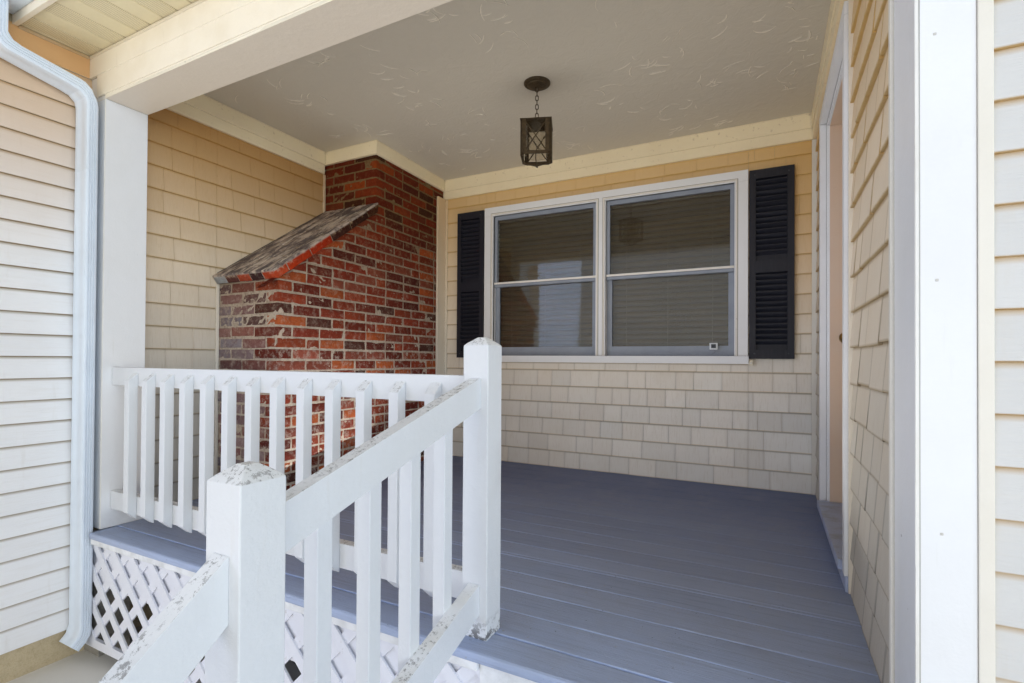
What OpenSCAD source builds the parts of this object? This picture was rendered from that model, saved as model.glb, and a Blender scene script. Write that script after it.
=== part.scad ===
// Recessed front porch of a timber house: brick chimney in the corner, painted deck with railing,
// lattice skirt and steps, shuttered double window, panelled entrance door and hanging lantern.
// Units are millimetres, +X to the right, +Y into the house, +Z up.
// The modules are drawn from the porch's own datum: X = 0 at the left wall, Y = 0 at the front of the
// beam, Z = 0 on the ground. place() then moves everything so that the origin is the bottom centre.

/* [Porch] */
// Clear width between the two side walls
porch_w = 3373; // [3000:1:3900]
// Depth from the front of the beam to the back wall
porch_d = 2455; // [2300:1:3000]
// Height of the deck above the ground
deck_h = 630; // [540:1:720]
// Height of the siding between the door casing and the crown boards
head_clear = 79; // [20:1:300]
// Thickness of the house walls
wall_t = 150; // [120:1:220]
// Length of the wing wall in front of the porch
wing_l = 700; // [500:1:1200]
// Length of the front wall to the right of its corner trim
front_l = 400; // [200:1:900]

/* [Siding] */
// Thickness of a siding course at its lower edge
siding_butt = 14; // [8:1:24]
// Thickness of a siding course at its upper edge
siding_thin = 4; // [2:1:7]
// Height of each shingle course that shows
shingle_exposure = 129; // [100:1:160]
// Height of each clapboard that shows
clapboard_exposure = 103.5; // [80:0.5:130]
// Height of the bottom of the clapboards above the ground
clapboard_base = 140; // [60:1:260]
// Width of the narrow trims where the siding ends
j_trim_w = 20; // [12:1:30]
// Width of the corner board beside the front wall
corner_board_w = 25; // [15:1:60]

/* [Chimney] */
// Width of the chimney at its front
chimney_w = 556; // [450:1:640]
// Width of the chimney where it meets the back wall
chimney_back_w = 492; // [400:1:640]
// Distance from the beam front to the front of the chimney base
hearth_y = 679; // [500:1:900]
// Distance from the beam front to the front of the stack
stack_y = 1522; // [1300:1:1700]
// Height of the lower end of the sloped shoulder above the deck
shoulder_low = 1325; // [1000:1:1500]
// Height of the upper end of the sloped shoulder above the deck
shoulder_high = 1925; // [1750:1:2100]
// Thickness of the brick capping on the shoulder
capping_t = 57; // [30:1:70]
// How far the capping stands out over the brickwork
capping_out = 22; // [8:1:40]
// Height of the stack above the roof at its upper side
stack_rise = 560; // [300:1:900]
// Width of the strip that covers the joint to the back wall
strip_w = 136; // [60:1:180]
// Thickness of that strip
strip_t = 20; // [8:1:25]
// Thickness of the mortar cap on the stack
cap_t = 70; // [40:1:120]
// How far the cap overhangs the stack
cap_out = 35; // [10:1:60]
// Outer width of the flue tile
flue_w = 300; // [200:1:380]
// Height of the flue tile above the cap
flue_rise = 130; // [60:1:240]
// Wall of the flue tile
flue_t = 22; // [15:1:35]

/* [Deck and steps] */
// Thickness of the deck boards
board_t = 32; // [20:1:38]
// How far the deck boards stand out in front of the beam
nosing_out = 50; // [35:1:80]
// How far each tread stands out over its riser
tread_nose = 25; // [10:1:32]
// Depth of the joists
joist_h = 235; // [184:1:286]
// Thickness of joists, rails and stringers
lumber_t = 38; // [32:1:45]
// Thickness of risers and trim boards
trim_t = 18; // [12:1:24]
// Height of the trim board at the top of the lattice
skirt_h = 27; // [20:1:90]
// Run of each lower step
tread_run = 275; // [240:1:320]
// Depth of the landing from riser to riser
landing_run = 750; // [650:1:950]
// Width of the square piers under the deck
pier_w = 140; // [100:1:200]

/* [Lattice] */
// Width of a lattice slat
slat_w = 41; // [25:1:50]
// Thickness of a lattice slat
slat_t = 8; // [5:0.5:12]
// Distance between neighbouring slats, measured across them
slat_pitch = 111; // [80:1:130]
// Depth of the first row of whole holes below the deck boards
lattice_drop = 97; // [60:1:160]
// Height of the lattice's lower edge above the ground
lattice_gap = 60; // [20:1:120]

/* [Railing] */
// Width of the square newel posts
newel_w = 89; // [80:1:110]
// Distance from the left wall to the newel posts
newel_x = 2243; // [1900:1:2500]
// Distance from the beam front to the upper newel
newel_y = 16; // [5:1:60]
// Height of the upper newel's shoulder above the deck
newel_h = 898; // [850:1:1050]
// Rise of the pyramid on each newel
newel_peak = 24; // [12:1:45]
// Worn flat top of a post cap as a share of its width
newel_flat = 0.33; // [0.1:0.01:0.6]
// Height of the top rail above the deck
rail_top = 802; // [760:1:830]
// Depth of the rails
rail_h = 89; // [70:1:110]
// Height of the top of the bottom rail above the deck
rail_low = 182; // [160:1:220]
// Width of the square balusters
baluster_w = 40; // [32:1:50]
// Distance between baluster centres along the deck
baluster_pitch = 147; // [120:1:170]
// Distance between baluster centres along the steps
stair_pitch = 152; // [120:1:170]
// Clear gap between a newel and the first baluster
baluster_gap = 98; // [70:1:110]
// Depth of the bevel at both ends of a baluster
baluster_bevel = 37; // [10:1:40]
// Drop from the top of a rail to the top of its balusters
baluster_drop = 24; // [6:1:45]
// How far the balusters reach below the bottom rail
baluster_tail = 16; // [4:1:40]
// Drop of the stair rail at the middle newel
rail_drop = 62; // [40:1:90]
// Height between the two rails of the lower flight
lower_gap = 560; // [480:1:640]
// Height of the upper flight's bottom rail over the steps' slope
stair_low = 166; // [140:1:200]

/* [Beam and eave] */
// Height of the ceiling above the beam's underside
beam_drop = 305; // [240:1:420]
// Depth of the beam and the pilasters, front to back
beam_d = 191; // [160:1:260]
// Width of the left pilaster
pilaster_w = 146; // [120:1:180]
// Width of the right pilaster
side_pilaster_w = 101; // [80:1:140]
// Height of the ceiling above the soffit
soffit_drop = 67; // [40:1:120]
// Height of the frieze board under the soffit
frieze_h = 112; // [90:1:140]
// Thickness of the frieze board
frieze_t = 12; // [8:1:20]
// Height of the step along the beam's lower front edge
beam_step_h = 18; // [10:1:30]
// How far the soffit reaches out from the beam
eave_out = 290; // [240:1:420]
// Thickness of the soffit panels
soffit_t = 12; // [8:1:18]
// Height of the fascia board
fascia_h = 160; // [140:1:200]
// Thickness of the fascia board
fascia_t = 20; // [16:1:25]
// Width of the gutter
gutter_w = 120; // [100:1:150]
// Height of the gutter
gutter_h = 100; // [80:1:120]
// Wall of the gutter and downspout
sheet_t = 3; // [2:0.5:4]
// Width of the downspout along the front
downspout_w = 118; // [80:1:125]
// Depth of the downspout
downspout_d = 48; // [40:1:72]
// Height of the upper elbow's start below the gutter
outlet_drop = 135; // [110:1:180]
// Height of the lower elbow's start below the soffit
elbow_drop = 205; // [180:1:260]
// Height of the bend at the downspout's foot above the ground
spout_foot = 150; // [110:1:220]

/* [Roof] */
// Slope of the roof in degrees
roof_slope = 14; // [10:1:22]
// Thickness of the roof boarding
roof_board_t = 22; // [18:1:30]
// Thickness of a roof shingle course at its lower edge
roof_butt = 12; // [8:1:16]
// Length of each roof course that shows
roof_exposure = 142; // [120:1:200]

/* [Ceiling] */
// Thickness of the ceiling
ceiling_t = 16; // [12:1:25]
// Height of the upper crown board
crown_upper_h = 99; // [80:1:120]
// Height of the lower crown board
crown_lower_h = 70; // [50:1:90]
// Thickness of the upper crown board, from the wall
crown_upper_t = 38; // [30:1:50]
// Thickness of the lower crown board, from the wall
crown_lower_t = 30; // [22:1:29]
// Thickness of the trim board around the stack
stack_trim_t = 22; // [15:1:30]

/* [Window] */
// Width over the window casing
window_w = 2041; // [1800:1:2150]
// Distance from the left wall to the middle of the window
window_x = 1948; // [1900:1:2000]
// How far the window casing's top lies below the top of the door casing
head_drop = 59; // [0:1:120]
// Height over the casing, from the underside of the sill
window_h = 1308; // [1200:1:1380]
// Width of the window casing
casing_w = 85; // [60:1:110]
// Width of the post between the two windows
mullion_w = 76; // [60:1:100]
// Height of the window sill
sill_h = 53; // [40:1:70]
// How far the casing stands out from the wall
casing_t = 40; // [32:1:55]
// How far the sill stands out in front of the casing
sill_nose = 28; // [15:1:45]
// How far the sill runs past the casing at each end
sill_ear = 5; // [0:1:5]
// Thickness of the lining in the wall opening
lining_t = 20; // [15:1:30]
// Thickness of each sash
sash_t = 25; // [20:1:32]
// Width of an upper sash's stiles
upper_stile = 28; // [20:1:40]
// Width of a lower sash's stiles
lower_stile = 40; // [30:1:55]
// Height of a lower sash's bottom rail
lower_rail = 72; // [50:1:90]
// Height of the meeting rail
meeting_h = 22; // [16:1:36]
// Thickness of the glass
glass_t = 4; // [3:0.5:6]
// Width of a blind slat
blind_w = 46; // [35:1:50]
// Distance between blind slats
blind_pitch = 42; // [36:1:60]

/* [Shutters] */
// Width of a shutter
shutter_w = 266; // [220:1:300]
// How much a shutter is shorter than the window over its casing
shutter_short = 48; // [0:1:90]
// How far a shutter's lower end lies above the underside of the window sill
shutter_foot = 35; // [0:1:60]
// Thickness of a shutter
shutter_t = 30; // [24:1:40]
// Width of a shutter's frame members
shutter_frame = 40; // [30:1:55]
// Height of a shutter's middle rail
shutter_mid = 84; // [50:1:100]
// Distance between louvers
louver_pitch = 36; // [28:1:50]
// Gap between casing and shutter
shutter_gap = 6; // [2:1:15]

/* [Door] */
// Width of the door opening between the jambs
door_w = 920; // [820:1:950]
// Height of the door opening above its sill
door_h = 2037; // [1980:1:2050]
// Distance from the beam front to the near jamb
door_y = 972; // [900:1:1100]
// Height of the sill above the deck
door_sill_h = 100; // [60:1:120]
// Thickness of the door leaf
leaf_t = 45; // [38:1:50]
// Gap around the door leaf
leaf_gap = 6; // [6:1:8]
// Radius of the hinge knuckles
knuckle_r = 8; // [6:0.5:10]
// Height of a hinge
hinge_h = 100; // [75:1:125]
// Distance from the leaf's ends to the outer hinges
hinge_inset = 180; // [140:1:220]
// Width of the leaf's stiles
stile_w = 120; // [95:1:130]
// Width of the leaf's middle stile
mid_stile = 90; // [70:1:120]
// Depth of the sunk panels
panel_in = 6; // [4:1:10]
// Width of the door casing
door_casing_w = 50; // [40:1:90]
// Thickness of the door casing
door_casing_t = 32; // [20:1:40]
// How far the jamb shows beside the casing
casing_reveal = 12; // [5:1:15]
// Thickness of the jambs
jamb_t = 32; // [25:1:40]
// Height of the knob above the deck
knob_z = 976; // [900:1:1050]
// Distance from the leaf's edge to the knob
backset = 70; // [60:1:75]
// Radius of the knob
knob_r = 26; // [22:1:32]

/* [Lantern] */
// Distance from the left wall to the lantern
lantern_x = 1899; // [1500:1:2300]
// Distance from the beam front to the lantern
lantern_y = 1330; // [1000:1:1700]
// Turn of the lantern on its chain, in degrees
lantern_turn = 20; // [0:1:89]
// Radius of the ceiling canopy
canopy_r = 76; // [55:1:90]
// Height of the ceiling canopy
canopy_h = 24; // [15:1:40]
// Length of the chain
chain_l = 178; // [110:1:260]
// Number of chain links
chain_n = 7; // [5:1:9]
// Thickness of the chain's wire
wire_t = 4.5; // [3:0.5:6]
// Width of a chain link
link_w = 21; // [16:1:26]
// Width of the lantern's square roof plate
lantern_w = 178; // [150:1:220]
// Rise of the lantern's roof
lantern_rise = 42; // [25:1:80]
// Height of the lantern's four sides
lantern_h = 188; // [150:1:240]
// Depth of the pointed cage below the sides
lantern_tip = 52; // [30:1:90]
// Width of the flat bars at the edges of each side
strap_w = 24; // [16:1:30]
// Thickness of the cage bars
cage_bar = 6; // [5:0.5:10]

/* [Hidden] */
eps = 0.01;
// clear line between boards that meet end to end
joint = 0.3;
big = 9000;

siding_out = siding_butt + 4;

// heights above the ground
ceiling_z = deck_h + door_sill_h + door_h + door_casing_w + casing_reveal + head_clear
    + crown_lower_h + crown_upper_h;
beam_bottom = ceiling_z - beam_drop;
soffit_bottom = ceiling_z - soffit_drop;
frieze_bottom = soffit_bottom - frieze_h;
crown_bottom = ceiling_z - crown_upper_h - crown_lower_h;
joist_top = deck_h - board_t;
joist_bottom = joist_top - joist_h;

// plan
right_face = porch_w;
right_pilaster_x = right_face - 10;
front_wall_x = right_pilaster_x + side_pilaster_w;
clapboard_x = front_wall_x + corner_board_w;
x_end = clapboard_x + front_l;
y_end = porch_d + wall_t;
deck_front = -nosing_out;
riser_y = deck_front + tread_nose;
rim_y = riser_y + trim_t;

gutter_x0 = siding_butt + 6;
skirt_x = gutter_x0 + downspout_w + 8;

// steps: three equal risers from the deck to the ground
riser_h = deck_h / 3;
landing_riser_y = riser_y - landing_run;
lowest_riser_y = landing_riser_y - tread_run;
steps_x = newel_x + newel_w;
mid_newel_y = landing_riser_y - tread_nose + 9;
low_newel_y = mid_newel_y - tread_run - newel_w;

// overall box, and the move to its bottom centre
x_start = -wall_t;
y_start = low_newel_y;
origin_x = (x_start + x_end) / 2;
origin_y = (y_start + y_end) / 2;

// roof line: underside of the boarding at the fascia's front
eave_y = -eave_out - fascia_t;
eave_z = soffit_bottom + fascia_h - 10;
function roof_z(y) = eave_z + (y - eave_y) * tan(roof_slope);
roof_len = (y_end - eave_y) / cos(roof_slope);

// window
window_x0 = window_x - window_w / 2;
window_x1 = window_x + window_w / 2;
window_z1 = deck_h + door_sill_h + door_h + door_casing_w + casing_reveal - head_drop;
window_z0 = window_z1 - window_h;
light_x0 = window_x0 + casing_w;
light_x1 = window_x1 - casing_w;
light_z0 = window_z0 + sill_h;
light_z1 = window_z1 - casing_w + 10;
unit_w = (light_x1 - light_x0 - mullion_w) / 2;
unit_x = [light_x0, light_x0 + unit_w + mullion_w];
meeting_z = (light_z0 + light_z1) / 2;
casing_y = porch_d - casing_t;
sash_y = porch_d - 15;

// door
door_z0 = deck_h + door_sill_h;
door_z1 = door_z0 + door_h;
door_y1 = door_y + door_w;
sill_z = door_z0 - 40;
leaf_x = right_face + wall_t - leaf_t;
hinge_x = right_face + wall_t + knuckle_r + 1;
hinge_y = door_y + leaf_gap / 2;
casing_side = door_casing_w + casing_reveal;

module place() translate([-origin_x, -origin_y, 0]) children();

module block(a, b) translate(a) cube([b[0] - a[0], b[1] - a[1], b[2] - a[2]]);

// Everything above the underside of the roof boarding
module above_roof() translate([-big / 2, 0, 0]) rotate([90, 0, 90])
    linear_extrude(big) polygon([[-big, eave_z - joint], [eave_y, eave_z - joint],
        [y_end + big, roof_z(y_end + big) - joint], [y_end + big, 2 * big], [-big, 2 * big]]);

module under_roof() difference() {
    children();
    above_roof();
}

// Profile of overlapping courses: thickness along +X, height along +Y, from 0 to h
module course_profile(h, exposure, butt, thin) polygon(concat([[0, 0]],
    [for (i = [0 : ceil(h / exposure) - 1]) each [[butt, i * exposure],
        [butt - (butt - thin) * (min((i + 1) * exposure, h) - i * exposure) / exposure,
            min((i + 1) * exposure, h)]]],
    [[0, h]]));

// Courses on a wall that faces +X, from the origin along +Y
module courses(len, h, exposure) translate([0, len, 0]) rotate([90, 0, 0])
    linear_extrude(len) course_profile(h, exposure, siding_butt, siding_thin);

module left_wall() color("wheat") under_roof()
    block([-wall_t, -wing_l, 0], [0, y_end, big / 2]);

module back_wall() color("wheat") difference() {
    under_roof() block([0, porch_d, 0], [right_face + wall_t, y_end, big / 2]);
    block([light_x0 - lining_t, porch_d - 1, light_z0 - lining_t],
        [light_x1 + lining_t, y_end + 1, light_z1 + lining_t]);
}

module right_wall_near() color("wheat") under_roof() linear_extrude(big / 2) polygon([
    [right_face, beam_d], [front_wall_x, beam_d], [front_wall_x, siding_butt + wall_t],
    [right_face + wall_t, siding_butt + wall_t], [right_face + wall_t, door_y - jamb_t],
    [right_face, door_y - jamb_t]]);

module right_wall_far() color("wheat") under_roof()
    block([right_face, door_y1 + jamb_t, 0], [right_face + wall_t, porch_d, big / 2]);

module right_wall_head() color("wheat") under_roof()
    block([right_face, door_y - jamb_t, door_z1 + jamb_t],
        [right_face + wall_t, door_y1 + jamb_t, big / 2]);

module right_wall_base() color("wheat")
    block([right_face, door_y - jamb_t, 0], [right_face + wall_t, door_y1 + jamb_t, sill_z]);

module front_wall() color("wheat") under_roof()
    block([front_wall_x, siding_butt, 0], [x_end, siding_butt + wall_t, big / 2]);

// Side view of the chimney in the porch, from the base to the stack: Y along X, Z along Y
module chimney_side(top) polygon([[hearth_y, 0], [hearth_y, deck_h + shoulder_low],
    [stack_y, deck_h + shoulder_high], [stack_y, top], [porch_d, top], [porch_d, 0]]);

module shingles() color("tan") {
    shingles_left();
    shingles_back();
    shingles_right();
}

module shingles_left() difference() {
    translate([0, beam_d + j_trim_w, deck_h])
        courses(stack_y - beam_d - j_trim_w, crown_bottom - deck_h, shingle_exposure);
    translate([-1, 0, 0]) rotate([90, 0, 90]) linear_extrude(siding_butt + 2) offset(delta = j_trim_w)
        chimney_side(ceiling_z);
}

shingle_x = chimney_back_w + strip_t + j_trim_w;
module shingles_back() difference() {
    translate([shingle_x, porch_d, deck_h]) rotate([0, 0, -90])
        courses(right_face - siding_butt - j_trim_w - shingle_x, crown_bottom - deck_h, shingle_exposure);
    block([window_x0, porch_d - casing_t - 1, window_z0], [window_x1, porch_d + 1, window_z1]);
    block([window_x0 - sill_ear, porch_d - casing_t - 1, window_z0],
        [window_x1 + sill_ear, porch_d + 1, light_z0]);
}

module shingles_right() difference() {
    translate([right_face, porch_d - siding_butt - j_trim_w, deck_h]) rotate([0, 0, 180])
        courses(porch_d - siding_butt - 2 * j_trim_w - beam_d, crown_bottom - deck_h, shingle_exposure);
    block([right_face - siding_butt - 1, door_y - casing_side, 0],
        [right_face + 1, door_y1 + casing_side, door_z1 + casing_side]);
}

module clapboards() color("antiquewhite") {
    translate([0, -wing_l, clapboard_base])
        courses(wing_l, frieze_bottom - clapboard_base, clapboard_exposure);
    translate([clapboard_x, siding_butt, clapboard_base]) rotate([0, 0, -90])
        courses(front_l, frieze_bottom - clapboard_base, clapboard_exposure);
}

stack_top = roof_z(y_end) + stack_rise;
stack_w = chimney_w - (chimney_w - chimney_back_w) * (stack_y - hearth_y) / (porch_d - hearth_y);

// Plan of the chimney, which narrows a little towards the back wall
module chimney_plan(grow = 0) polygon([[0, hearth_y - grow], [chimney_w + grow, hearth_y - grow],
    [chimney_back_w + grow, porch_d + eps], [0, porch_d + eps]]);
module chimney_column(grow = 0) translate([0, 0, -1]) linear_extrude(big) chimney_plan(grow);

module chimney() color("firebrick") {
    difference() {
        rotate([90, 0, 90]) linear_extrude(chimney_w) chimney_side(stack_top);
        translate([0, 0, -1]) linear_extrude(big) polygon([[chimney_w, hearth_y],
            [chimney_back_w, porch_d],
            [chimney_back_w, porch_d + 1], [chimney_w + 1, porch_d + 1], [chimney_w + 1, hearth_y]]);
    }
    shoulder_capping();
}

// Sloped bricks on the shoulder, standing out over the front and the open side
shoulder_angle = atan2(shoulder_high - shoulder_low, stack_y - hearth_y);
module shoulder_capping() difference() {
    translate([siding_out + joint, hearth_y, deck_h + shoulder_low]) rotate([shoulder_angle, 0, 0])
        translate([0, -capping_out, -eps])
            cube([chimney_w + capping_out,
                (stack_y - hearth_y) / cos(shoulder_angle) + capping_out + 60, capping_t]);
    block([-1, stack_y, 0], [big, stack_y + big, big]);
    translate([0, 0, -1]) linear_extrude(big) polygon([[chimney_w + capping_out, hearth_y - 100],
        [chimney_w + capping_out, hearth_y - capping_out], [chimney_back_w + capping_out, porch_d],
        [chimney_back_w + capping_out, porch_d + 1], [big, porch_d + 1], [big, hearth_y - 100]]);
}

module chimney_cap() {
    color("gray") difference() {
        block([0, stack_y - cap_out, stack_top], [stack_w + cap_out, porch_d + cap_out,
            stack_top + cap_t]);
        flue_bore();
    }
    color("peru") difference() {
        flue(flue_w, stack_top, stack_top + cap_t + flue_rise);
        flue_bore();
    }
}
module flue(w, z0, z1) translate([chimney_back_w / 2 - w / 2, (stack_y + porch_d) / 2 - w / 2, z0])
    cube([w, w, z1 - z0]);
module flue_bore() flue(flue_w - 2 * flue_t, stack_top + 20, stack_top + cap_t + flue_rise + 1);

module deck_floor() color("slategray") difference() {
    translate([0, 0, joist_top]) linear_extrude(board_t) polygon([
        [skirt_x, deck_front], [clapboard_x, deck_front], [clapboard_x, siding_butt],
            [front_wall_x, siding_butt],
        [front_wall_x, beam_d], [right_face, beam_d], [right_face, porch_d], [0, porch_d], [0, 0],
            [skirt_x, 0]]);
    chimney_column();
}

joist_n = 6;
module deck_frame() color("white") difference() {
    union() {
        block([siding_butt, rim_y, joist_bottom], [clapboard_x, rim_y + lumber_t, joist_top]);
        block([0, porch_d - lumber_t, joist_bottom], [right_face, porch_d, joist_top]);
        for (i = [0 : joist_n - 1]) let (x = 20 + i * (right_face - lumber_t - 40) / (joist_n - 1))
            block([x, rim_y + lumber_t + joint, joist_bottom],
                [x + lumber_t, porch_d - lumber_t - joint, joist_top]);
    }
    chimney_column(joint);
    block([right_face, siding_butt, 0], [clapboard_x + 1, big, big]);
}

module deck_piers() color("gray") {
    for (x = [0, right_face / 3, newel_x - pier_w / 2, right_face - pier_w])
        block([x, joint, 0], [x + pier_w, joint + pier_w, joist_bottom]);
    block([right_face / 2, porch_d - pier_w, 0], [right_face / 2 + pier_w, porch_d, joist_bottom]);
}

module deck_skirt() color("white")
    block([skirt_x, riser_y - trim_t + 2, joist_top - skirt_h], [steps_x, riser_y + 2, joist_top]);

// Two layers of slats at 45 degrees around a hole, clipped to the opening under the deck
lattice_l = steps_x - siding_butt;
lattice_h = joist_top - lattice_gap;
module lattice() color("white") translate([siding_butt, riser_y + 2, lattice_gap]) {
    translate([0, slat_t, 0]) rotate([90, 0, 0]) linear_extrude(slat_t) slats(-45);
    translate([0, 2 * slat_t, 0]) rotate([90, 0, 0]) linear_extrude(slat_t) slats(45);
    cube([lattice_l, 2 * slat_t, slat_w]);
}
slat_n = ceil(lattice_l / slat_pitch / sqrt(2)) + 4;
module slats(a) intersection() {
    square([lattice_l, lattice_h]);
    translate([lattice_l - 10, lattice_h - lattice_drop]) rotate(a)
        for (k = [-slat_n : slat_n - 1]) translate([-lattice_l, (k + 0.5) * slat_pitch - slat_w / 2])
            square([2 * lattice_l, slat_w]);
}

module steps() color("slategray") {
    // landing and lower tread
    block([steps_x, landing_riser_y - tread_nose, 2 * riser_h - board_t],
        [clapboard_x, riser_y, 2 * riser_h]);
    block([steps_x, lowest_riser_y - tread_nose, riser_h - board_t],
        [clapboard_x, landing_riser_y, riser_h]);
    // risers
    color("white") {
        block([steps_x, riser_y + joint, 2 * riser_h - board_t], [clapboard_x, rim_y, joist_top]);
        block([steps_x, landing_riser_y + joint, riser_h - board_t],
            [clapboard_x, landing_riser_y + trim_t, 2 * riser_h - board_t - joint]);
        block([steps_x, lowest_riser_y, 0], [clapboard_x, lowest_riser_y + trim_t,
            riser_h - board_t - joint]);
    }
}

stringer_profile = [[riser_y, 0], [riser_y, 2 * riser_h - board_t],
    [landing_riser_y + trim_t, 2 * riser_h - board_t],
    [landing_riser_y + trim_t, riser_h - board_t], [lowest_riser_y + trim_t, riser_h - board_t],
    [lowest_riser_y + trim_t, 0]];
module stair_stringers() color("white")
    for (x = [steps_x, (steps_x + clapboard_x - lumber_t) / 2, clapboard_x - lumber_t])
        translate([x, 0, 0]) rotate([90, 0, 90]) linear_extrude(lumber_t) polygon(stringer_profile);

module newel(x, y, z0, z1) translate([x, y, 0]) {
    translate([0, 0, z0]) cube([newel_w, newel_w, z1 - z0]);
    translate([newel_w / 2, newel_w / 2, z1]) linear_extrude(newel_peak, scale = newel_flat)
        square(newel_w, center = true);
}
mid_newel_h = newel_h - riser_h - 40;
low_newel_h = mid_newel_h - riser_h;
module newel_posts() color("white") {
    newel(newel_x, newel_y, deck_h, deck_h + newel_h);
    newel(newel_x, mid_newel_y, 0, deck_h + mid_newel_h);
    newel(newel_x, low_newel_y, 0, deck_h + low_newel_h);
}

rail_y = newel_y + (newel_w - lumber_t) / 2;
module handrails() color("white") {
    deck_rails();
    stair_rails();
}

module deck_rails() {
    for (top = [rail_top, rail_low])
        block([pilaster_w, rail_y, deck_h + top - rail_h], [newel_x, rail_y + lumber_t, deck_h + top]);
}

baluster_z0 = deck_h + rail_low - rail_h - baluster_tail;
baluster_z1 = deck_h + rail_top - baluster_drop;
baluster_n = floor((newel_x - pilaster_w - baluster_gap) / baluster_pitch);
module balusters() color("white") {
    deck_balusters();
    stair_balusters();
}

// Profile of a baluster whose back is on X = 0, with both ends cut back towards the front
module baluster_side(z0, z1) polygon([[0, z0], [0, z1], [-baluster_w, z1 - baluster_bevel],
    [-baluster_w, z0 + baluster_bevel]]);

module deck_balusters()
    for (i = [0 : baluster_n - 1])
        translate([newel_x - baluster_gap - baluster_w - i * baluster_pitch, rail_y, 0])
            rotate([90, 0, 90])
            linear_extrude(baluster_w) baluster_side(baluster_z0, baluster_z1);

// Sloped rails of one flight: top edge falls from z0 at y0 to z1 at y1
rail_x = newel_x + (newel_w - lumber_t) / 2;
module sloped_rail(y0, z0, y1, z1, depth) translate([rail_x, 0, 0]) rotate([90, 0, 90])
    linear_extrude(lumber_t) polygon([[y0, z0], [y1, z1], [y1, z1 - depth], [y0, z0 - depth]]);
upper_y0 = newel_y;
upper_y1 = mid_newel_y + newel_w;
lower_y0 = mid_newel_y;
lower_y1 = low_newel_y + newel_w;
upper_fall = riser_h / (upper_y0 - upper_y1);
lower_fall = riser_h / (lower_y0 - lower_y1);
lower_top = deck_h + rail_top - riser_h - rail_drop;
module stair_rails() {
    for (z = [deck_h + rail_top - 6, deck_h + stair_low])
        sloped_rail(upper_y0, z, upper_y1, z - riser_h, rail_h / cos(atan(upper_fall)));
    for (z = [lower_top, lower_top - lower_gap])
        sloped_rail(lower_y0, z, lower_y1, z - riser_h, rail_h / cos(atan(lower_fall)));
}

// Balusters stand on the outer side of the stair rails
module stair_baluster(y, z0, z1) translate([rail_x, y, 0]) rotate([90, 0, 0])
    linear_extrude(baluster_w) baluster_side(z0, z1);
module stair_balusters() {
    for (i = [0 : 3]) let (y = newel_y - baluster_gap + 4 - i * stair_pitch,
        fall = (upper_y0 - y) * upper_fall)
        stair_baluster(y, deck_h + stair_low - rail_h - baluster_tail - fall,
            deck_h + rail_top - baluster_drop - 20 - fall);
    let (y = (lower_y0 + lower_y1 + baluster_w) / 2, fall = (lower_y0 - y) * lower_fall)
        stair_baluster(y, lower_top - lower_gap - rail_h - 2 * baluster_tail - fall,
            lower_top - 2 * baluster_drop - fall);
}

module pilasters() color("white") {
    block([0, 0, deck_h], [pilaster_w, beam_d, beam_bottom]);
    block([right_pilaster_x, 0, deck_h], [front_wall_x, beam_d, beam_bottom]);
}

module wall_trims() color("cornsilk") {
    // beside the left pilaster
    block([0, beam_d, deck_h], [siding_out, beam_d + j_trim_w, crown_bottom]);
    // along the foot of the chimney, its shoulder and its stack
    rotate([90, 0, 90]) linear_extrude(siding_out) intersection() {
        difference() {
            offset(delta = j_trim_w) chimney_side(big);
            offset(delta = joint) chimney_side(big);
        }
        translate([0, deck_h]) square([stack_y, crown_bottom - deck_h]);
    }
    // on the back wall, beside the chimney and in the right corner
    block([chimney_back_w + strip_t, porch_d - siding_out, deck_h],
        [chimney_back_w + strip_t + j_trim_w, porch_d, crown_bottom]);
    // strip on the chimney's side, against the back wall
    translate([0, 0, deck_h]) linear_extrude(crown_bottom - deck_h) difference() {
        chimney_plan(strip_t);
        chimney_plan(joint);
        translate([-1, 0]) square([big, porch_d - strip_w]);
        translate([-1, porch_d]) square([big, big]);
    }
    block([right_face - siding_butt - j_trim_w, porch_d - siding_out, deck_h],
        [right_face, porch_d, crown_bottom]);
    // right wall, beside the pilaster
    block([right_face - siding_out, beam_d, deck_h], [right_face, beam_d + j_trim_w, crown_bottom]);
    // corner board of the front wall
    block([front_wall_x, -3, deck_h], [clapboard_x, siding_butt, frieze_bottom]);
}

module beam() color("whitesmoke") under_roof()
    block([0, 0, beam_bottom], [front_wall_x, beam_d, big / 2]);

module frieze() color("cornsilk") {
    // upper board under the soffit, along the whole front and back along the wing
    block([0, -frieze_t, frieze_bottom], [x_end, 0, soffit_bottom]);
    block([front_wall_x, 0, frieze_bottom], [x_end, siding_butt, soffit_bottom]);
    block([0, -wing_l, frieze_bottom], [frieze_t, -frieze_t, soffit_bottom]);
    // lower board of the beam with its small step
    block([75, -frieze_t + 3, beam_bottom + beam_step_h], [front_wall_x, 0, frieze_bottom]);
    block([pilaster_w, -frieze_t + 8, beam_bottom], [right_pilaster_x, 0, beam_bottom + beam_step_h]);
}

module soffit() color("ivory")
    block([0, -eave_out, soffit_bottom], [x_end, 0, soffit_bottom + soffit_t]);

module fascia() color("ivory") under_roof()
    block([frieze_t + joint, -eave_out - fascia_t, soffit_bottom - 10], [x_end, -eave_out, big / 2]);

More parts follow.
